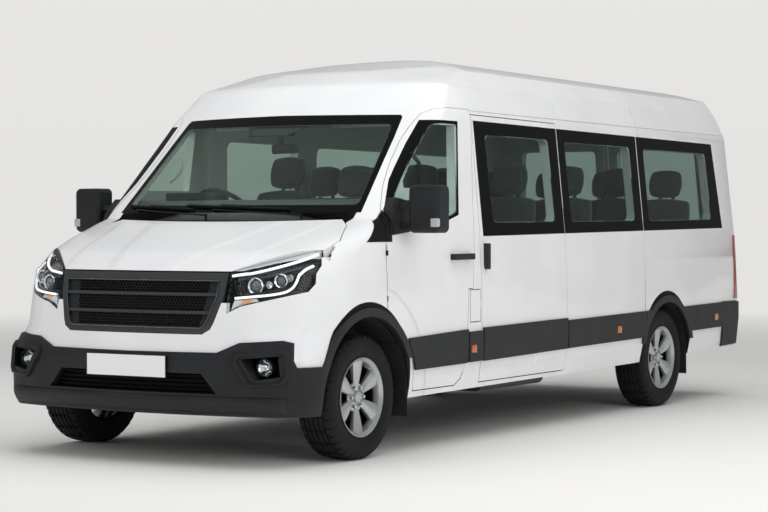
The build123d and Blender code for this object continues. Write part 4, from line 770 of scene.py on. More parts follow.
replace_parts(cover, "front_lamps")
print("headlamps made")


# fog lamps
fogLamp = {
    "x": 0.792, "z": 0.522, "radius": 0.046, "frontY": -0.640,  # profiles: share of the radius, offset outwards
    "ring": [(0.93, 0.004), (1.0, 0.010), (1.12, 0.008), (1.16, -0.004), (1.16, -0.055), (0.93, -0.055),
             (0.93, 0.004)],
    "lens": [(0, 0.014), (0.4, 0.012), (0.75, 0.007), (0.92, 0.0), (0.92, -0.003), (0, 0.009)],
    "bowl": [(0, -0.030), (0.3, -0.028), (0.6, -0.018), (0.92, -0.001), (0.92, -0.005), (0.6, -0.024), (0, -0.036)],
    "bulb": [(0, -0.005), (0.174, -0.007), (0.2174, -0.016), (0.2174, -0.028), (0, -0.028)],
}
fogCentre = Vector((fogLamp["x"], behind(fogLamp["frontY"]), fogLamp["z"]))
fogRing, fogLens, fogBowl = bmesh.new(), bmesh.new(), bmesh.new()
for form, part, steps in ((fogRing, "ring", 40), (fogLens, "lens", 40), (fogBowl, "bowl", 32), (fogBowl, "bulb", 20)):
    profile = [(share * fogLamp["radius"], offset) for share, offset in fogLamp[part]]
    turned(form, profile, fogCentre, Vector((0, -1, 0)), steps)
for form in (fogRing, fogLens, fogBowl):
    mirrored(form)
addPiece("fogLampRings", fogRing, satinBlack, "body")
lens = addPiece("fogLampLenses", fogLens, bpy.data.materials["clearLensCover"], "body")
lens.visible_shadow = False
addPiece("fogLampReflectors", fogBowl, chrome, "body")
print("fog lamps made")


# grille and intake meshes
grilleMesh = {
    "pitch": 0.024, "wall": 0.0027, "deep": 0.008, "setBack": 0.021,
    "bays": [(0.712, 0.790), (0.806, 0.884), (0.900, 0.960)],
    "sides": [(0.68, 0.395), (0.745, 0.412), (0.88, 0.430), (0.96, 0.440)],  # height, half width
    "endPanel": [(0.712, 0.45), (0.96, 0.505)],
    "line": [(0.0, 0.963), (0.25, 0.963), (0.505, 0.963), (0.500, 0.88), (0.462, 0.76), (0.446, 0.727),
             (0.425, 0.718), (0.20, 0.718), (0.0, 0.718)],
    "noseTable": ((0.35, -0.771), (0.69, -0.735), (1.0, -0.668)),  # height, nose ahead of the axle
}
intake = {
    "pitch": 0.022, "wall": 0.002, "deep": 0.006, "setBack": 0.045, "bays": [(0.392, 0.480)],
    "sides": [(0.38, 0.55), (0.49, 0.46)], "noseTable": ((0.29, -0.735), (0.35, -0.771), (0.69, -0.735)),
}


def widthAt(table, z):
    for (lowZ, lowX), (highZ, highX) in zip(table, table[1:]):
        if z <= highZ:
            break
    return lowX + (highX - lowX) * (z - lowZ) / (highZ - lowZ)


def noseY(x, z, table=grilleMesh["noseTable"]):
    bow = 2.9 - widthAt(table, z)
    return 2.9 - math.sqrt(bow * bow - x * x)


def hexMesh(form, cells):
    # rows of six-sided tubes that follow the nose, from the settings of a mesh
    pitch, wall, deep = cells["pitch"], cells["wall"], cells["deep"]
    for low, high in cells["bays"]:
        rows = int((high - low) / (pitch * 0.75))
        for row in range(rows + 1):
            z = low + (row + 0.5) * (high - low) / (rows + 1)
            half = widthAt(cells["sides"], z) - pitch * 0.3
            count = int(half / (pitch * 0.866))
            for column in range(-count, count + 1):
                x = (column + 0.5 * (row % 2)) * pitch * 0.866
                if abs(x) > half:
                    continue
                y = behind(noseY(x, z, cells["noseTable"])) + cells["setBack"]
                rings = []
                for radius, back in ((pitch * 0.5, deep), (pitch * 0.5, 0), (pitch * 0.5 - wall, 0),
                                     (pitch * 0.5 - wall, deep)):
                    ring = []
                    for k in range(6):
                        angle = math.pi / 3 * k + math.pi / 6
                        ring.append(form.verts.new((x + radius * math.cos(angle), y + back,
                                                    z + radius * math.sin(angle))))
                    rings.append(ring)
                joinRings(form, rings)


meshForm = bmesh.new()
hexMesh(meshForm, grilleMesh)
bmesh.ops.recalc_face_normals(meshForm, faces=meshForm.faces)
addPiece("grilleHoneycomb", meshForm, mouldedPlastic("grilleMeshPlastic", "1A1B1D", "242527", 2.0, 0.42), "body",
         smooth=False)
endForm = bmesh.new()  # sloping plain panels at both ends of each honeycomb bay
for low, high in grilleMesh["bays"]:
    corners = []
    for z in (low, high):
        inner, outer = widthAt(grilleMesh["sides"], z) - 0.004, widthAt(grilleMesh["endPanel"], z) + 0.012
        corners.append([(inner, 0.024, z), (outer, 0.012, z)])
    (a, b), (c, d) = corners
    face = endForm.faces.new([endForm.verts.new((x, behind(noseY(x, z)) + back, z)) for x, back, z in (a, b, d, c)])
    wall = bmesh.ops.extrude_face_region(endForm, geom=[face])["geom"]
    bmesh.ops.translate(endForm, vec=(0, 0.004, 0), verts=pointsOf(wall))
bmesh.ops.recalc_face_normals(endForm, faces=endForm.faces)
mirrored(endForm)
addPiece("grilleEndPanels", endForm, charcoal, "body", smooth=False)

lineForm = bmesh.new()  # thin bright line round the inner edge of the grille's frame
corners = grilleMesh["line"]
linePoints, lineNormals = [], []
for (x, z), (nextX, nextZ) in zip(corners, corners[1:] + corners[-1:]):
    for x, z in ((x, z), ((x + nextX) / 2, (z + nextZ) / 2)):
        linePoints.append(Vector((x, behind(noseY(x, z)) - 0.0015, z)))
        lineNormals.append(Vector((x * 0.3, -1, 0.1)).normalized())
addBar(lineForm, linePoints[:-1], 0.004, 0.006, lineNormals[:-1])
mirrored(lineForm)
addPiece("grilleInnerLine", lineForm, brightMetal("satinChromeLine", "8C8F92", "A8ABAD", 0.25), "body")

intakeForm = bmesh.new()
hexMesh(intakeForm, intake)
bmesh.ops.recalc_face_normals(intakeForm, faces=intakeForm.faces)
addPiece("intakeMesh", intakeForm, satinBlack, "body", smooth=False)

plateHolder = {
    "places": ((-0.786, -1), (5.1085, 1)),  # plate's face behind the axle, and the way it looks
    "thick": 0.004, "setBack": 0.0035, "bars": (  # width, height, place across and high
        (0.528, 0.005, 0, 0.5755), (0.528, 0.005, 0, 0.4605), (0.005, 0.118, -0.2625, 0.518),
        (0.005, 0.118, 0.2625, 0.518)),
}
plateForm = bmesh.new()  # plain holders round the blank plates
for y, outward in plateHolder["places"]:
    for wide, high, x, z in plateHolder["bars"]:
        addBox(plateForm, (wide, plateHolder["thick"], high), (x, behind(y) - outward * plateHolder["setBack"], z))
roundEdges(plateForm, plateForm.edges[:], 0.001, 2)
addPiece("plateHolders", plateForm, satinBlack, "body")
print("grille and intake made")


# lower bumper's moulded forms: the lip under the plate and the frames round the fog lamps
bumper = {
    "lip": [(0.372, 0.001), (0.362, 0.009), (0.345, 0.013), (0.322, 0.014), (0.300, 0.011), (0.283, 0.002)],
    "lipEnd": 0.915, "lipColumns": 60, "foremost": -0.784, "wall": 0.003,
    "fogRing": [(0.640, 0.596), (0.905, 0.618), (0.925, 0.590), (0.928, 0.470), (0.905, 0.438), (0.745, 0.424),
                (0.720, 0.436), (0.636, 0.562)],
    "ringSteps": ((1.0, 0.001), (0.965, 0.016), (0.90, 0.017), (0.78, 0.002)),  # share of the outline, height
}
bumperTree = castTree("lower_bumper")
lipForm = bmesh.new()
columns = []
for i in range(bumper["lipColumns"] + 1):
    across = 2 * i / bumper["lipColumns"] - 1
    fade = min(1.0, (1 - abs(across)) * 12 + 0.15)
    hits = [fromFront(bumperTree, bumper["lipEnd"] * across, z) + (proud,) for z, proud in bumper["lip"]]
    if any(place is None for place, normal, proud in hits):
        continue
    column = []
    for place, normal, proud in hits:
        place = place + Vector((normal.x, normal.y, 0)).normalized() * proud * fade
        place.y = max(place.y, behind(bumper["foremost"]))
        column.append(lipForm.verts.new(place))
    columns.append(column)
joinRings(lipForm, columns, closed=False)
bmesh.ops.recalc_face_normals(lipForm, faces=lipForm.faces)
thicken(addPiece("bumperLip", lipForm, charcoal, "body", sharp=60), bumper["wall"])

ringForm = bmesh.new()  # raised frame round each fog lamp's recess, sloping in to its edge
outline = bumper["fogRing"]
middle = (sum(p[0] for p in outline) / len(outline), sum(p[1] for p in outline) / len(outline))
rims = [fromFront(bumperTree, x, z)[0].y for x, z in outline]
rings = []
for scale, proud in bumper["ringSteps"]:
    ring = []
    for (x, z), rim in zip(outline, rims):
        x, z = middle[0] + (x - middle[0]) * scale, middle[1] + (z - middle[1]) * scale
        place = fromFront(bumperTree, x, z)[0]
        if place is None or place.y >= behind(-0.56):  # over the recess
            place = Vector((x, rim - 0.01, z))
        ring.append(ringForm.verts.new(place + Vector((0.35, -1, 0)).normalized() * proud))
    rings.append(ring)
joinRings(ringForm, rings)
bmesh.ops.subdivide_edges(ringForm, edges=ringForm.edges[:], cuts=2, use_grid_fill=True)
bmesh.ops.smooth_vert(ringForm, verts=ringForm.verts, factor=0.12, use_axis_x=True, use_axis_y=True, use_axis_z=True)
bmesh.ops.recalc_face_normals(ringForm, faces=ringForm.faces)
mirrored(ringForm)
thicken(addPiece("fogLampSurrounds", ringForm, charcoal, "body", sharp=50), bumper["wall"])
print("bumper forms made")


# wheels: tyre, rim, nuts and cap
wheel = {
    "radius": 0.334, "trackX": 0.87, "steps": 120, "treadDeep": 0.008, "grooves": [0.0, 0.030, 0.058],
    "grooveWidth": 0.009, "blockCut": 0.0055, "spokes": 6, "spokeStart": 0.045, "spokeEnd": 0.198, "spokeRows": 10,
    "nutCircle": 0.056, "nutFace": 0.0615,
    # profiles of (offset outwards, radius) or, for what is turned on a lathe, (radius, offset outwards)
    "sidewall": [(0.090, 0.2035), (0.0955, 0.206), (0.0965, 0.212), (0.094, 0.216), (0.0955, 0.220), (0.101, 0.236),
                 (0.1055, 0.254), (0.1062, 0.256), (0.1075, 0.262), (0.1075, 0.280), (0.1065, 0.288), (0.1058, 0.290),
                 (0.1045, 0.302), (0.103, 0.310), (0.0965, 0.322), (0.088, 0.3285)],
    "barrel": [(0.2115, -0.101), (0.2115, -0.0955), (0.203, -0.092), (0.190, -0.06), (0.182, 0.03), (0.188, 0.074),
               (0.192, 0.086), (0.198, 0.091), (0.2035, 0.098), (0.2085, 0.1025), (0.2118, 0.1015), (0.2118, 0.0955),
               (0.203, 0.0945), (0.196, 0.075), (0.188, 0.03), (0.196, -0.09), (0.2115, -0.101)],
    "hub": [(0.0, 0.045), (0.078, 0.045), (0.080, 0.050), (0.080, 0.058), (0.075, 0.061), (0.040, 0.063),
            (0.0, 0.063)],
    "cap": [(0.034, 0.062), (0.034, 0.076), (0.030, 0.0805), (0.019, 0.0812), (0.017, 0.0798), (0, 0.0798)],
    "valve": [(0.0042, -0.01), (0.0042, 0.018), (0.0055, 0.018), (0.0055, 0.030), (0, 0.031)],
}
wheelPlaces = [  # name, body, side, distance behind the front axle
    ("FrontLeft", "wheel_front_left", 1, 0), ("FrontRight", "wheel_front_right", -1, 0),
    ("RearLeft", "wheel_rear_left", 1, 3.81), ("RearRight", "wheel_rear_right", -1, 3.81),
]


def tyreProfile():
    # half of the outside, from the bead to the crown, as (offset across, radius)
    crown = wheel["radius"]
    line = list(wheel["sidewall"])
    deep = wheel["treadDeep"]
    for centre in reversed(wheel["grooves"][1:]):
        half = wheel["grooveWidth"] / 2
        rise = crown - 0.0045 * (centre / 0.085) ** 2
        line += [(centre + half, rise), (centre + half - 0.0015, rise - deep), (centre - half + 0.0015, rise - deep),
                 (centre - half, rise)]
    half = wheel["grooveWidth"] / 2
    line += [(half, crown), (half - 0.0015, crown - deep)]
    return line


def tyreForm():
    # a full tyre round the X axis at the origin, its tread cut into blocks
    form = bmesh.new()
    half = tyreProfile()
    line = half + [(-a, r) for a, r in reversed(half)]
    points = [form.verts.new((a, 0, r)) for a, r in line]
    edges = [form.edges.new(pair) for pair in zip(points, points[1:])]
    bmesh.ops.spin(form, geom=points + edges, cent=(0, 0, 0), axis=(1, 0, 0), angle=2 * math.pi,
                   steps=wheel["steps"], use_merge=True, use_duplicate=False)
    bmesh.ops.remove_doubles(form, verts=form.verts, dist=0.00002)
    bmesh.ops.recalc_face_normals(form, faces=form.faces)
    cuts = []
    step = 2 * math.pi / wheel["steps"]
    for face in form.faces:
        middle = face.calc_center_median()
        radius = math.hypot(middle.y, middle.z)
        across = abs(middle.x)
        turn = int(math.floor((math.atan2(middle.y, middle.z) + math.pi) / step + 0.5))
        shoulder = 0.0645 < across < 0.104 and radius > 0.312
        rib = across < 0.052 and radius > 0.331
        if (shoulder and turn % 3 == 0) or (rib and turn % 5 == 0 and across > 0.008):
            cuts.append(face)
    sunk = bmesh.ops.extrude_face_region(form, geom=cuts)["geom"]
    for point in pointsOf(sunk):
        radius = math.hypot(point.co.y, point.co.z)
        scale = (radius - wheel["blockCut"]) / radius
        point.co.y *= scale
        point.co.z *= scale
    bmesh.ops.delete(form, geom=cuts, context="FACES_ONLY")
    bmesh.ops.recalc_face_normals(form, faces=form.faces)
    return form


def placed(form, side, distance):
    bmesh.ops.translate(form, vec=(side * wheel["trackX"], behind(distance), wheel["radius"]), verts=form.verts)
    return form


def spokeSection(radius):
    # half width of a spoke and the offsets of its crown and its shoulders at this distance from the centre
    t = (radius - 0.05) / (0.192 - 0.05)
    half = 0.019 + 0.031 * t
    return half, 0.074 - 0.004 * t + 0.016 * t * t, 0.060 + 0.016 * t


def rimForm():
    # barrel, outer lip, hub with nut pockets and six spokes that widen outwards, about the origin and facing +X
    form = bmesh.new()
    centre, axis = Vector((0, 0, 0)), Vector((1, 0, 0))
    turned(form, wheel["barrel"], centre, axis, 96)
    turned(form, wheel["hub"], centre, axis, 48)
    for index in range(wheel["spokes"]):
        spoke = bmesh.new()
        rows = []
        for step in range(wheel["spokeRows"] + 1):
            radius = wheel["spokeStart"] + (wheel["spokeEnd"] - wheel["spokeStart"]) * step / wheel["spokeRows"]
            half, crown, shoulder = spokeSection(radius)
            low = shoulder - 0.022
            line = [(-half * 1.06, low), (-half, shoulder), (-half * 0.86, shoulder + 0.004),
                    (-half * 0.18, crown), (half * 0.18, crown), (half * 0.86, shoulder + 0.004), (half, shoulder),
                    (half * 1.06, low)]
            rows.append([spoke.verts.new((offset, across, radius)) for across, offset in line])
        joinRings(spoke, rows)
        spoke.faces.new(rows[0])
        spoke.faces.new(list(reversed(rows[-1])))
        bmesh.ops.recalc_face_normals(spoke, faces=spoke.faces)
        turn = Matrix.Rotation(2 * math.pi / wheel["spokes"] * index, 3, "X")
        bmesh.ops.rotate(spoke, cent=(0, 0, 0), matrix=turn, verts=spoke.verts)
        holder = bpy.data.meshes.new("spoke")
        spoke.to_mesh(holder)
        spoke.free()
        form.from_mesh(holder)
        bpy.data.meshes.remove(holder)
    return form


def hubForm():
    # six wheel nuts in their pockets between the spokes, facing +X at the origin
    form = bmesh.new()
    face, outward = wheel["nutFace"], Vector((1, 0, 0))
    for i in range(wheel["spokes"]):
        angle = math.pi * (2 * i + 1) / wheel["spokes"]
        centre = Vector((0, math.sin(angle), math.cos(angle))) * wheel["nutCircle"]
        turned(form, [(0.0165, face - 0.003), (0.0165, face + 0.001), (0.0125, face + 0.001), (0.0125, face)], centre,
               outward, 20)
        turned(form, [(0.0105, face), (0.0105, face + 0.015), (0.009, face + 0.018), (0, face + 0.0185)], centre,
               outward, 6)
    return form


def capForm():
    # hub cap with rounded edge, and the tyre's valve
    form = bmesh.new()
    turned(form, wheel["cap"], Vector((0, 0, 0)), Vector((1, 0, 0)), 6)
    turned(form, wheel["valve"], Vector((0.068, 0.085, 0.155)), Vector((1, 0, -0.35)).normalized(), 12)
    return form


for label, body, side, distance in wheelPlaces:
    form = placed(tyreForm(), side, distance)
    tyre = addPiece("tyre" + label, form, rubber, body, sharp=28)
    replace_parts(tyre, "tyre_" + body[6:])
    for name, make, material in (("Rim", rimForm, alloy), ("Nuts", hubForm, chrome), ("Cap", capForm, alloy)):
        form = make()
        if side < 0:
            bmesh.ops.scale(form, vec=(-1, 1, 1), verts=form.verts)
            bmesh.ops.reverse_faces(form, faces=form.faces)
        piece = addPiece("wheel" + name + label, placed(form, side, distance), material, body, sharp=24)
        if name == "Rim":
            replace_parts(piece, "rim_" + body[6:])
print("wheels made")


# seats: padded cushions, backs and head rests, and their belts
seat = {
    "width": 0.426, "cushionDeep": 0.438, "lean": 12.0, "pad": 0.109, "backPad": 0.083, "crown": 0.018,
    "headWide": 0.25, "headPad": 0.073, "headCrown": 0.004, "gap": 0.0005, "shoulderDrop": 200, "cushionBack": 306,
    "cuts": 14, "headCuts": 10, "cushionFill": 0.75, "backFill": 0.8, "beltWide": 0.046, "beltThick": 0.002,
    "cushionSeams": [(-0.62, 0), (0.62, 0), (0.30, 1)], "backSeams": [(-0.62, 0), (0.62, 0), (-0.25, 1)],
    "rows": [  # across, back's foot behind the front axle, cushion top, head rest top
        (-450, 1275, 1030, 1660), (75, 1250, 1030, 1600), (520, 1250, 1030, 1600)],
}
for y in (2060, 2840, 3620):
    seat["rows"] += [(x, y, 1040, 1620) for x in (-690, -235, 690)]
seat["rows"] += [(x, 4400, 1040, 1620) for x in (-690, -232, 232, 690)]


def paddedBlock(size, cuts, crown, seams, rounding, corners):
    # a foam pad about the origin: crowned on its sitting side (+Z), pulled in at its sides, with sewn channels
    form = bmesh.new()
    bmesh.ops.create_cube(form, size=1.0)
    bmesh.ops.subdivide_edges(form, edges=form.edges[:], cuts=cuts, use_grid_fill=True)
    for point in form.verts:
        u, v, w = point.co * 2
        pull = 1 - rounding * (max(abs(u), abs(v)) ** 6) * (abs(w) ** 3)
        swell = (1 - u ** 4) * (1 - v ** 4)
        x = u * size[0] / 2 * pull * (1 - 0.02 * (1 - v * v) * abs(w))
        y = v * size[1] / 2 * pull * (1 - 0.02 * (1 - u * u) * abs(w))
        x, y = x * math.sqrt(1 - corners * v * v), y * math.sqrt(1 - corners * u * u)
        z = w * size[2] / 2 - (size[2] / 2 * 0.30 * (1 - swell) if w > 0 else 0) * abs(w)
        if w > 0.4:
            for centre, along in seams:
                spread = (u - centre) if along == 0 else (v - centre)
                z -= crown * 0.55 * math.exp(-(spread / 0.055) ** 2) * min(1, swell * 2.5)
            bolster = math.exp(-((abs(u) - 0.83) / 0.16) ** 2)
            z += crown * 0.55 * bolster * min(1, (1 - v ** 4) * 2)
        point.co = Vector((x, y, z))
    return form


def seatPads():
    # cushion, back and head rest about the seat's own foot: X across, Y rearwards, Z up
    cushion = paddedBlock((seat["width"], seat["cushionDeep"], seat["pad"]), seat["cuts"], seat["crown"],
                          seat["cushionSeams"], 0.10, 0.06)
    back = paddedBlock((seat["width"], 1.0, seat["backPad"]), seat["cuts"], seat["crown"], seat["backSeams"],
                       0.12, 0.16)
    head = paddedBlock((seat["headWide"], 1.0, seat["headPad"]), seat["headCuts"], seat["headCrown"], [], 0.20, 0.30)
    return cushion, back, head


def seatSet(index, x, foot, top, high):
    # one seat, its place and heights in millimetres
    low = top - seat["pad"] * 1000
    shoulder = high - seat["shoulderDrop"]
    lean = math.radians(seat["lean"])
    pieces = seatPads()
    longs = [None, (shoulder - low) / 1000 / math.cos(lean) * 0.985, (high - shoulder - 2) / 1000 / math.cos(lean)]
    for k, (form, name) in enumerate(zip(pieces, ("Cushion", "Back", "HeadRest"))):
        if k == 0:
            move = Matrix.Translation((x / 1000, behind((foot - seat["cushionBack"]) / 1000),
                                       top / 1000 - seat["pad"] / 2))
        else:
            thick = seat["backPad"] if k == 1 else seat["headPad"]
            start = low if k == 1 else shoulder + 1
            bmesh.ops.scale(form, vec=(1, longs[k], 1), verts=form.verts)
            run = (start - low) / 1000 * math.tan(lean)
            base = Vector((x / 1000, behind(foot / 1000) + run, start / 1000))
            turn = Matrix.Rotation(-lean, 4, "X") @ Matrix.Rotation(math.radians(90), 4, "X")
            move = Matrix.Translation(base) @ turn @ Matrix.Translation((0, longs[k] / 2, thick / 2 + seat["gap"]))
        bmesh.ops.transform(form, matrix=move, verts=form.verts)
        piece = addPiece(f"seat{name}{index:02d}", form, cloth, "body", sharp=180)
        rounder = piece.modifiers.new("foam", "SUBSURF")
        rounder.levels = rounder.render_levels = 1
        if index == 0 and k == 0:
            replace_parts(piece, "front_seats", "passenger_seats")


for index, row in enumerate(seat["rows"]):
    seatSet(index, *row)

beltForm = bmesh.new()  # shoulder belts lying over each back
for x, foot, top, high in seat["rows"]:
    lean = math.tan(math.radians(seat["lean"]))
    low, up = top / 1000 + 0.02, (high - 230) / 1000
    path = []
    for i in range(8):
        z = low + (up - low) * i / 7
        y = behind(foot / 1000) + (z - (top / 1000 - 0.11)) * lean - seat["backPad"] - 0.016
        path.append(Vector((x / 1000 - 0.17 + 0.04 * i / 7, y, z)))
    addBar(beltForm, path, seat["beltWide"], seat["beltThick"], [Vector((0, -1, 0))] * len(path))
# polyester webbing, its twill 2 mm apart drawn at 5 mm so that it shows
webbing, tree, shader, place = newMaterial("wovenBeltWebbing", {"Roughness": 0.8, "Sheen Weight": 0.2})
x, y, z = addNode(tree, "ShaderNodeSeparateXYZ", {}, {0: place}).outputs
slant = addNode(tree, "ShaderNodeMath", {"operation": "ADD"}, {0: x, 1: z})
turn = addNode(tree, "ShaderNodeMath", {"operation": "MULTIPLY"}, {0: slant, 1: 2 * math.pi * 1000 / 5})
twill = addNode(tree, "ShaderNodeMath", {"operation": "SINE"}, {0: turn})
tone = addNode(tree, "ShaderNodeMapRange", {}, {"Value": twill, "From Min": -1})
wire(tree, shader, {
    "Base Color": addNode(tree, "ShaderNodeMix", colourMix, {0: tone, 6: "17181A", 7: "242629"}),
    "Normal": addNode(tree, "ShaderNodeBump", {}, {"Height": twill, "Distance": 0.3 / 1000, "Strength": 0.5})})
addPiece("seatBelts", beltForm, webbing, "body")
print("seats made")


# mud flaps: rubber sheets that carry on from the wheel housings' liners
mudFlap = {"inner": 0.82, "thick": 0.005, "low": 0.20, "wheels": ((0, 0.423, 0.992), (3.810, 0.379, 0.985))}
flapForm = bmesh.new()
for distance, radius, outer in mudFlap["wheels"]:  # behind the front axle, curve's radius, outer edge
    line = []
    for i in range(9):
        angle = math.radians(40 - 5 * i)
        line.append((distance + radius * math.cos(angle), wheel["radius"] + radius * math.sin(angle)))
    line.append((distance + radius + 0.004, mudFlap["low"]))
    path = [Vector(((outer + mudFlap["inner"]) / 2, behind(y), z)) for y, z in line]
    normals = [Vector((0, -1, 0.4)).normalized()] * len(path)
    addBar(flapForm, path, outer - mudFlap["inner"], mudFlap["thick"], normals)
mirrored(flapForm)
addPiece("mudFlaps", flapForm, flapRubber, "body", sharp=50)
print("mud flaps made")


# door mirrors: glass, indicator and the lip between glass and shell
mirror = {
    "x": 1.166, "z": 1.336, "glassY": 0.4205, "glass": (0.166, 0.004, 0.232), "cornerRadius": 0.024,
    "lamp": (0.046, 0.062, 0.048), "lampPlace": (1.2385, 0.3285, 1.262), "lipY": 0.4195,
    "lip": ((-0.07, -0.121), (0.07, -0.121), (0.088, -0.10), (0.088, 0.10), (0.07, 0.121), (-0.07, 0.121),
            (-0.088, 0.10), (-0.088, -0.10), (-0.07, -0.121)),
}
for side, word in ((1, "left"), (-1, "right")):
    body, label = "front_door_" + word, word.capitalize()
    glassForm = bmesh.new()
    addBox(glassForm, mirror["glass"], (0, 0, 0))
    corners = [e for e in glassForm.edges if abs((e.verts[0].co - e.verts[1].co).normalized().y) > 0.9]
    roundEdges(glassForm, corners, mirror["cornerRadius"], 6)
    bmesh.ops.translate(glassForm, vec=(side * mirror["x"], behind(mirror["glassY"]), mirror["z"]),
                        verts=glassForm.verts)
    addPiece("mirrorGlass" + label, glassForm, brightMetal("silveredMirror" + word, "B9BFC4", "C4C9CD", 0.03), body)
    lampForm = bmesh.new()
    x, y, z = mirror["lampPlace"]
    addBox(lampForm, mirror["lamp"], (0, 0, 0))
    roundEdges(lampForm, lampForm.edges[:], 0.006, 3)
    bmesh.ops.translate(lampForm, vec=(side * x, behind(y), z), verts=lampForm.verts)
    addPiece("mirrorIndicator" + label, lampForm, indicatorLens, body)
    lipForm = bmesh.new()
    ring = [Vector((side * mirror["x"] + u, behind(mirror["lipY"]), mirror["z"] + v)) for u, v in mirror["lip"]]
    addBar(lipForm, ring, 0.006, 0.004, [Vector((0, 1, 0))] * len(ring))
    addPiece("mirrorLip" + label, lipForm, satinBlack, body)
print("mirrors made")


# door furniture: handle cups, locks, black corner panels and the quarter lights' dividers
doorFittings = {
    "handleZ": 1.067, "cupY": 0.985, "cup": (0.004, 0.085, 0.036), "lockY": 1.094,
    "corner": ((0.235, 1.204), (0.330, 1.208), (0.400, 1.222), (0.345, 1.30), (0.305, 1.345), (0.250, 1.262)),
    "cornerWall": 0.003, "dividerWide": 0.022, "dividerThick": 0.010,
}


def fromSide(tree, side, y, z, depth=0.0):
    # the point of a door at this distance behind the axle and height, as fromFront does for the nose
    place, normal = tree.ray_cast(Vector((side * 3.0, behind(y), z)), Vector((-side, 0, 0)))[:2]
    if place is None:
        return None, None
    normal = normal if normal.x * side > 0 else -normal
    return place - normal * depth, normal


for side, word in ((1, "left"), (-1, "right")):
    body, label = "front_door_" + word, word.capitalize()
    doorTree = castTree(body)
    cupForm = bmesh.new()  # pressed cup behind the pull handle, as a shallow dished plate
    bmesh.ops.create_uvsphere(cupForm, u_segments=32, v_segments=16, radius=1.0)
    bmesh.ops.scale(cupForm, vec=doorFittings["cup"], verts=cupForm.verts)
    spot = fromSide(doorTree, side, doorFittings["cupY"], doorFittings["handleZ"])[0]
    bmesh.ops.translate(cupForm, vec=spot, verts=cupForm.verts)
    addPiece("handleCup" + label, cupForm, enamel, body)
    lockForm = bmesh.new()
    spot = fromSide(doorTree, side, doorFittings["lockY"], doorFittings["handleZ"])[0]
    turned(lockForm, [(0.0, 0.024), (0.008, 0.024), (0.010, 0.022), (0.011, 0.0), (0, 0)], spot,
           Vector((side, 0, 0)), 24)
    addPiece("lockBarrel" + label, lockForm, chrome, body)
    sailForm = bmesh.new()  # ahead of the window, under the mirror's arms
    glazedTree = castTree(body, "front_door_glass_" + word)
    spots = [fromSide(glazedTree, side, y, z, -0.0025)[0] for y, z in doorFittings["corner"]]
    face = sailForm.faces.new([sailForm.verts.new(spot) for spot in spots if spot is not None])
    bmesh.ops.triangulate(sailForm, faces=[face])
    bmesh.ops.subdivide_edges(sailForm, edges=sailForm.edges[:], cuts=2, use_grid_fill=True)
    bmesh.ops.recalc_face_normals(sailForm, faces=sailForm.faces)
    thicken(addPiece("sailPanel" + label, sailForm, satinBlack, body), doorFittings["cornerWall"])
    barForm = bmesh.new()
    glassTree = castTree("front_door_glass_" + word)
    hits = [fromSide(glassTree, side, 0.575 + 0.004 * t, 1.255 + 0.057 * t, 0.003) for t in range(9)]
    hits = [hit for hit in hits if hit[0] is not None]
    addBar(barForm, [place for place, normal in hits], doorFittings["dividerWide"], doorFittings["dividerThick"],
           [normal for place, normal in hits])
    addPiece("windowDivider" + label, barForm, satinBlack, body)
print("door furniture made")


# windscreen fittings: wiper blades, sensor with mirror, printed field, grab handle, visors
screenTree = castTree("windscreen")
wiper = {"bladeWidth": 0.010, "bladeHigh": 0.014, "clampWidth": 0.016, "clampHigh": 0.010, "lift": 0.009,
         "blades": (((0.42, 1.33), (-0.28, 1.352)), ((-0.22, 1.33), (-0.76, 1.352)))}
bladeForm = bmesh.new()
for (startX, startZ), (endX, endZ) in wiper["blades"]:
    path, normals = [], []
    for i in range(15):
        t = i / 14
        spot, normal = fromFront(screenTree, startX + (endX - startX) * t, startZ + (endZ - startZ) * t,
                                 -wiper["lift"])
        if spot is not None:
            path.append(spot)
            normals.append(normal)
    addBar(bladeForm, path, wiper["bladeWidth"], wiper["bladeHigh"], normals)
    addBar(bladeForm, [p + n * wiper["lift"] for p, n in zip(path[5:10], normals[5:10])], wiper["clampWidth"],
           wiper["clampHigh"], normals[5:10])
addPiece("wiperBlades", bladeForm, rubber, "body")

sensor = {"housing": ((0.12, 0.07, 0.05), 0.68, 1.79), "stalk": ((0.03, 0.03, 0.08), 0.65, 1.74),
          "mirror": (0.21, 0.03, 0.055), "mirrorY": 0.69, "mirrorZ": 1.690, "mirrorTurn": -12}
sensorForm = bmesh.new()
for size, y, z in (sensor["housing"], sensor["stalk"]):
    addBox(sensorForm, size, (0, behind(y), z))
roundEdges(sensorForm, sensorForm.edges[:], 0.012, 3)
made = addBox(sensorForm, sensor["mirror"], (0, behind(sensor["mirrorY"]), sensor["mirrorZ"]),
              Matrix.Rotation(math.radians(sensor["mirrorTurn"]), 3, "Z"))
roundEdges(sensorForm, list(dict.fromkeys(e for v in made for e in v.link_edges)), 0.014, 4)
addPiece("screenSensorAndMirror", sensorForm, satinBlack, "body")

shield = {"wall": 0.002, "depth": 0.0075, "columns": 8, "rows": (  # height, right end, left end
    (1.862, -0.21, 0.26), (1.835, -0.20, 0.24), (1.805, -0.185, 0.20), (1.778, -0.17, 0.13), (1.760, -0.155, 0.10))}
shieldForm = bmesh.new()
rows = []
for z, start, end in shield["rows"]:
    row = []
    for i in range(shield["columns"] + 1):
        x = start + (end - start) * i / shield["columns"]
        spot = fromFront(screenTree, x, z, shield["depth"])[0]
        if spot is None:
            spot = fromFront(screenTree, x, z - 0.02, shield["depth"])[0]
        row.append(shieldForm.verts.new(spot))
    rows.append(row)
joinRings(shieldForm, rows, closed=False)
bmesh.ops.recalc_face_normals(shieldForm, faces=shieldForm.faces)
thicken(addPiece("windscreenShield", shieldForm, satinBlack, "body"), shield["wall"])

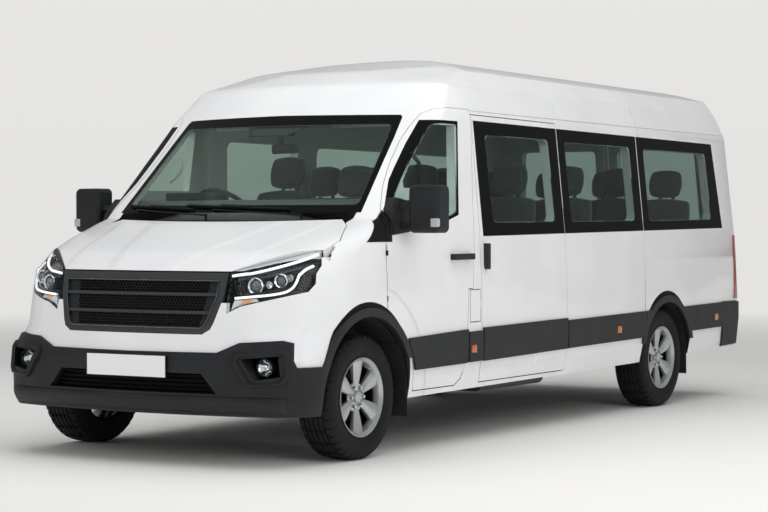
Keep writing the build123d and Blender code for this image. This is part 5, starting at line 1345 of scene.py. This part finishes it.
grab = {"x": -0.70, "reach": 0.045, "thick": 0.022}  # on the windscreen pillar beside the driver
grabForm = bmesh.new()
path = []
for i in range(9):
    t = i / 8
    path.append(Vector((grab["x"] + grab["reach"] * math.sin(math.pi * t), behind(0.50 + 0.10 * t), 1.50 + 0.14 * t)))
addBar(grabForm, path, grab["thick"], grab["thick"], [Vector((-1, 0.3, 0)).normalized()] * len(path), sides=10)
addPiece("grabHandle", grabForm, paleTrim, "body")

visor = {"size": (0.40, 0.17, 0.022), "x": 0.42, "y": 0.93, "z": 1.838, "tilt": 12}
visorForm = bmesh.new()
for side in (1, -1):
    addBox(visorForm, visor["size"], (side * visor["x"], behind(visor["y"]), visor["z"]),
           Matrix.Rotation(math.radians(visor["tilt"]), 3, "X"))
roundEdges(visorForm, visorForm.edges[:], 0.009, 3)
addPiece("sunVisors", visorForm, paleTrim, "body")

dash = {
    "boxes": (  # place across, behind the axle and high, then size
        ((-0.45, 0.44, 1.405), (0.36, 0.14, 0.06)), ((0.0, 0.53, 1.28), (0.24, 0.02, 0.15)),
        ((0.62, 0.50, 1.385), (0.26, 0.10, 0.03)), ((-0.14, 0.545, 1.20), (0.10, 0.02, 0.06)),
        ((0.14, 0.545, 1.20), (0.10, 0.02, 0.06)), ((0.0, 0.60, 1.02), (0.20, 0.12, 0.10))),
    "lever": [(0.022, 0), (0.022, 0.05), (0.008, 0.055), (0.008, 0.12), (0.02, 0.13), (0.024, 0.15), (0.018, 0.168),
              (0, 0.17)],
}
dashForm = bmesh.new()  # binnacle, screen, shelf lip, vents and gear lever's stand, with the lever
for (x, y, z), size in dash["boxes"]:
    addBox(dashForm, size, (x, behind(y), z))
roundEdges(dashForm, dashForm.edges[:], 0.008, 3)
turned(dashForm, dash["lever"], Vector((0, behind(0.62), 1.06)), Vector((0, 0.35, 1)).normalized(), 20)
addPiece("dashboardFittings", dashForm, satinBlack, "body")
print("cab fittings made")


# rear door handle, standing on the left door
pull = {"size": (0.035, 0.018, 0.17), "x": 0.055, "z": 1.08, "proud": 0.006}
pullForm = bmesh.new()
spot = castTree("rear_door_left").ray_cast(Vector((pull["x"], 4.0, pull["z"])), Vector((0, -1, 0)))[0]
addBox(pullForm, pull["size"], (pull["x"], spot.y + pull["proud"], pull["z"]))
roundEdges(pullForm, pullForm.edges[:], 0.006, 3)
addPiece("rearDoorHandle", pullForm, satinBlack, "rear_door_left")
print("rear fittings made")


# side markers: amber reflectors on the dark bands
marker = {"wide": 0.058, "high": 0.046, "deep": 0.010, "faceX": 1.027,
          "rows": [(1.108, 0.536), (3.031, 0.560), (4.621, 0.580)]}
markerForm = bmesh.new()
for y, z in marker["rows"]:
    addBox(markerForm, (marker["deep"], marker["wide"], marker["high"]), (marker["faceX"], behind(y), z))
roundEdges(markerForm, markerForm.edges[:], 0.0025, 2)
mirrored(markerForm)
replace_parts(addPiece("sideMarkerLenses", markerForm, amberLens, "body"), "side_markers")
print("side markers made")


# studio: pale floor, world, three soft lamps and the camera
studio = {"floor": "F2F1EF", "backdrop": "E4E3E1", "worldLight": 0.36, "keyWatts": 165, "fillWatts": 120,
          "topWatts": 420, "floorSize": 60, "floorZ": -0.0005}


def paleStage(name, colour, size, place):
    form = bmesh.new()
    bmesh.ops.create_grid(form, x_segments=1, y_segments=1, size=size)
    mesh = bpy.data.meshes.new(name)
    form.to_mesh(mesh)
    form.free()
    stage = bpy.data.objects.new(name, mesh)
    stage.location = place
    bpy.context.scene.collection.objects.link(stage)
    # matt paper that fades into the backdrop's own colour far from the object
    material, tree, shader, spot = newMaterial(name + "Paper", {"Roughness": 0.85, "Specular IOR Level": 0.1,
                                                                "Base Color": colour})
    x, y, z = addNode(tree, "ShaderNodeSeparateXYZ", {}, {0: spot}).outputs
    xSquared = addNode(tree, "ShaderNodeMath", {"operation": "MULTIPLY"}, {0: x, 1: x})
    ySquared = addNode(tree, "ShaderNodeMath", {"operation": "MULTIPLY"}, {0: y, 1: y})
    squared = addNode(tree, "ShaderNodeMath", {"operation": "ADD"}, {0: xSquared, 1: ySquared})
    away = addNode(tree, "ShaderNodeMath", {"operation": "SQRT"}, {0: squared})
    fade = addNode(tree, "ShaderNodeMapRange", {}, {"Value": away, "From Min": 6.0, "From Max": 16.0})
    glow = addNode(tree, "ShaderNodeEmission", {}, {"Color": studio["backdrop"], "Strength": 1.0})
    faded = addNode(tree, "ShaderNodeMixShader", {}, {0: fade, 1: shader, 2: glow})
    wire(tree, tree.nodes["Material Output"], {"Surface": faded})
    stage.data.materials.append(material)


paleStage("studioFloor", studio["floor"], studio["floorSize"], (0, 0, studio["floorZ"]))

world = bpy.data.worlds.new("studioWorld")
bpy.context.scene.world = world
world.use_nodes = True
tree = world.node_tree
rays = addNode(tree, "ShaderNodeLightPath").outputs
direct = addNode(tree, "ShaderNodeMath", {"operation": "MAXIMUM"},
                 {0: rays["Is Camera Ray"], 1: rays["Is Transmission Ray"]})
sky = addNode(tree, "ShaderNodeTexCoord").outputs["Generated"]
height = addNode(tree, "ShaderNodeSeparateXYZ", {}, {0: sky}).outputs["Z"]
dome = addNode(tree, "ShaderNodeMapRange", {}, {"Value": height, "From Min": -0.1, "From Max": 0.9})
domeColour = addNode(tree, "ShaderNodeMix", colourMix, {0: dome, 6: "DEDEDD", 7: "FFFFFF"})
lit = addNode(tree, "ShaderNodeBackground", {}, {"Color": domeColour, "Strength": studio["worldLight"]})
rise = addNode(tree, "ShaderNodeMapRange", {}, {"Value": height, "From Max": 0.16})
wallColour = addNode(tree, "ShaderNodeMix", colourMix, {0: rise, 6: studio["backdrop"], 7: "E9E8E6"})
seen = addNode(tree, "ShaderNodeBackground", {}, {"Color": wallColour, "Strength": 1.0})
sky = addNode(tree, "ShaderNodeMixShader", {}, {0: direct, 1: lit, 2: seen})
wire(tree, tree.nodes["World Output"], {"Surface": sky})


def softLamp(name, place, aim, size, watts):
    light = bpy.data.lights.new(name, "AREA")
    light.shape = "RECTANGLE"
    light.size, light.size_y = size
    light.energy = watts
    lamp = bpy.data.objects.new(name, light)
    lamp.location = place
    lamp.rotation_euler = (Vector(aim) - Vector(place)).to_track_quat("-Z", "Y").to_euler()
    lamp.visible_glossy = False  # no bright squares on the lacquer
    bpy.context.scene.collection.objects.link(lamp)


softLamp("topLamp", (0.5, -0.5, 6.5), (0, 0, 0.8), (9, 12), studio["topWatts"])
softLamp("keyLamp", (7.5, -4.5, 3.2), (0.6, -0.5, 1.0), (4, 4), studio["keyWatts"])
softLamp("fillLamp", (-3.5, -9.5, 3.5), (0, -2.6, 0.9), (4, 4), studio["fillWatts"])

viewpoint = {"place": (7.038, -11.681, 1.285), "yaw": 31.923, "pitch": -1.012, "roll": -0.070, "lens": 99.59}
camera = bpy.data.objects.new("camera", bpy.data.cameras.new("camera"))
camera.data.lens = viewpoint["lens"]
camera.data.sensor_width = 36.0
camera.data.sensor_fit = "HORIZONTAL"
camera.data.clip_end = 200
yaw, pitch, roll = (math.radians(viewpoint[k]) for k in ("yaw", "pitch", "roll"))
ahead = Vector((-math.sin(yaw) * math.cos(pitch), math.cos(yaw) * math.cos(pitch), math.sin(pitch)))
right = Vector((math.cos(yaw), math.sin(yaw), 0))
up = right.cross(ahead)
turnedRight = right * math.cos(roll) + up * math.sin(roll)
turnedUp = up * math.cos(roll) - right * math.sin(roll)
axes = Matrix((turnedRight, turnedUp, -ahead)).transposed().to_4x4()
camera.matrix_world = Matrix.Translation(viewpoint["place"]) @ axes
bpy.context.scene.collection.objects.link(camera)
bpy.context.scene.camera = camera
bpy.context.scene.view_settings.view_transform = "Standard"
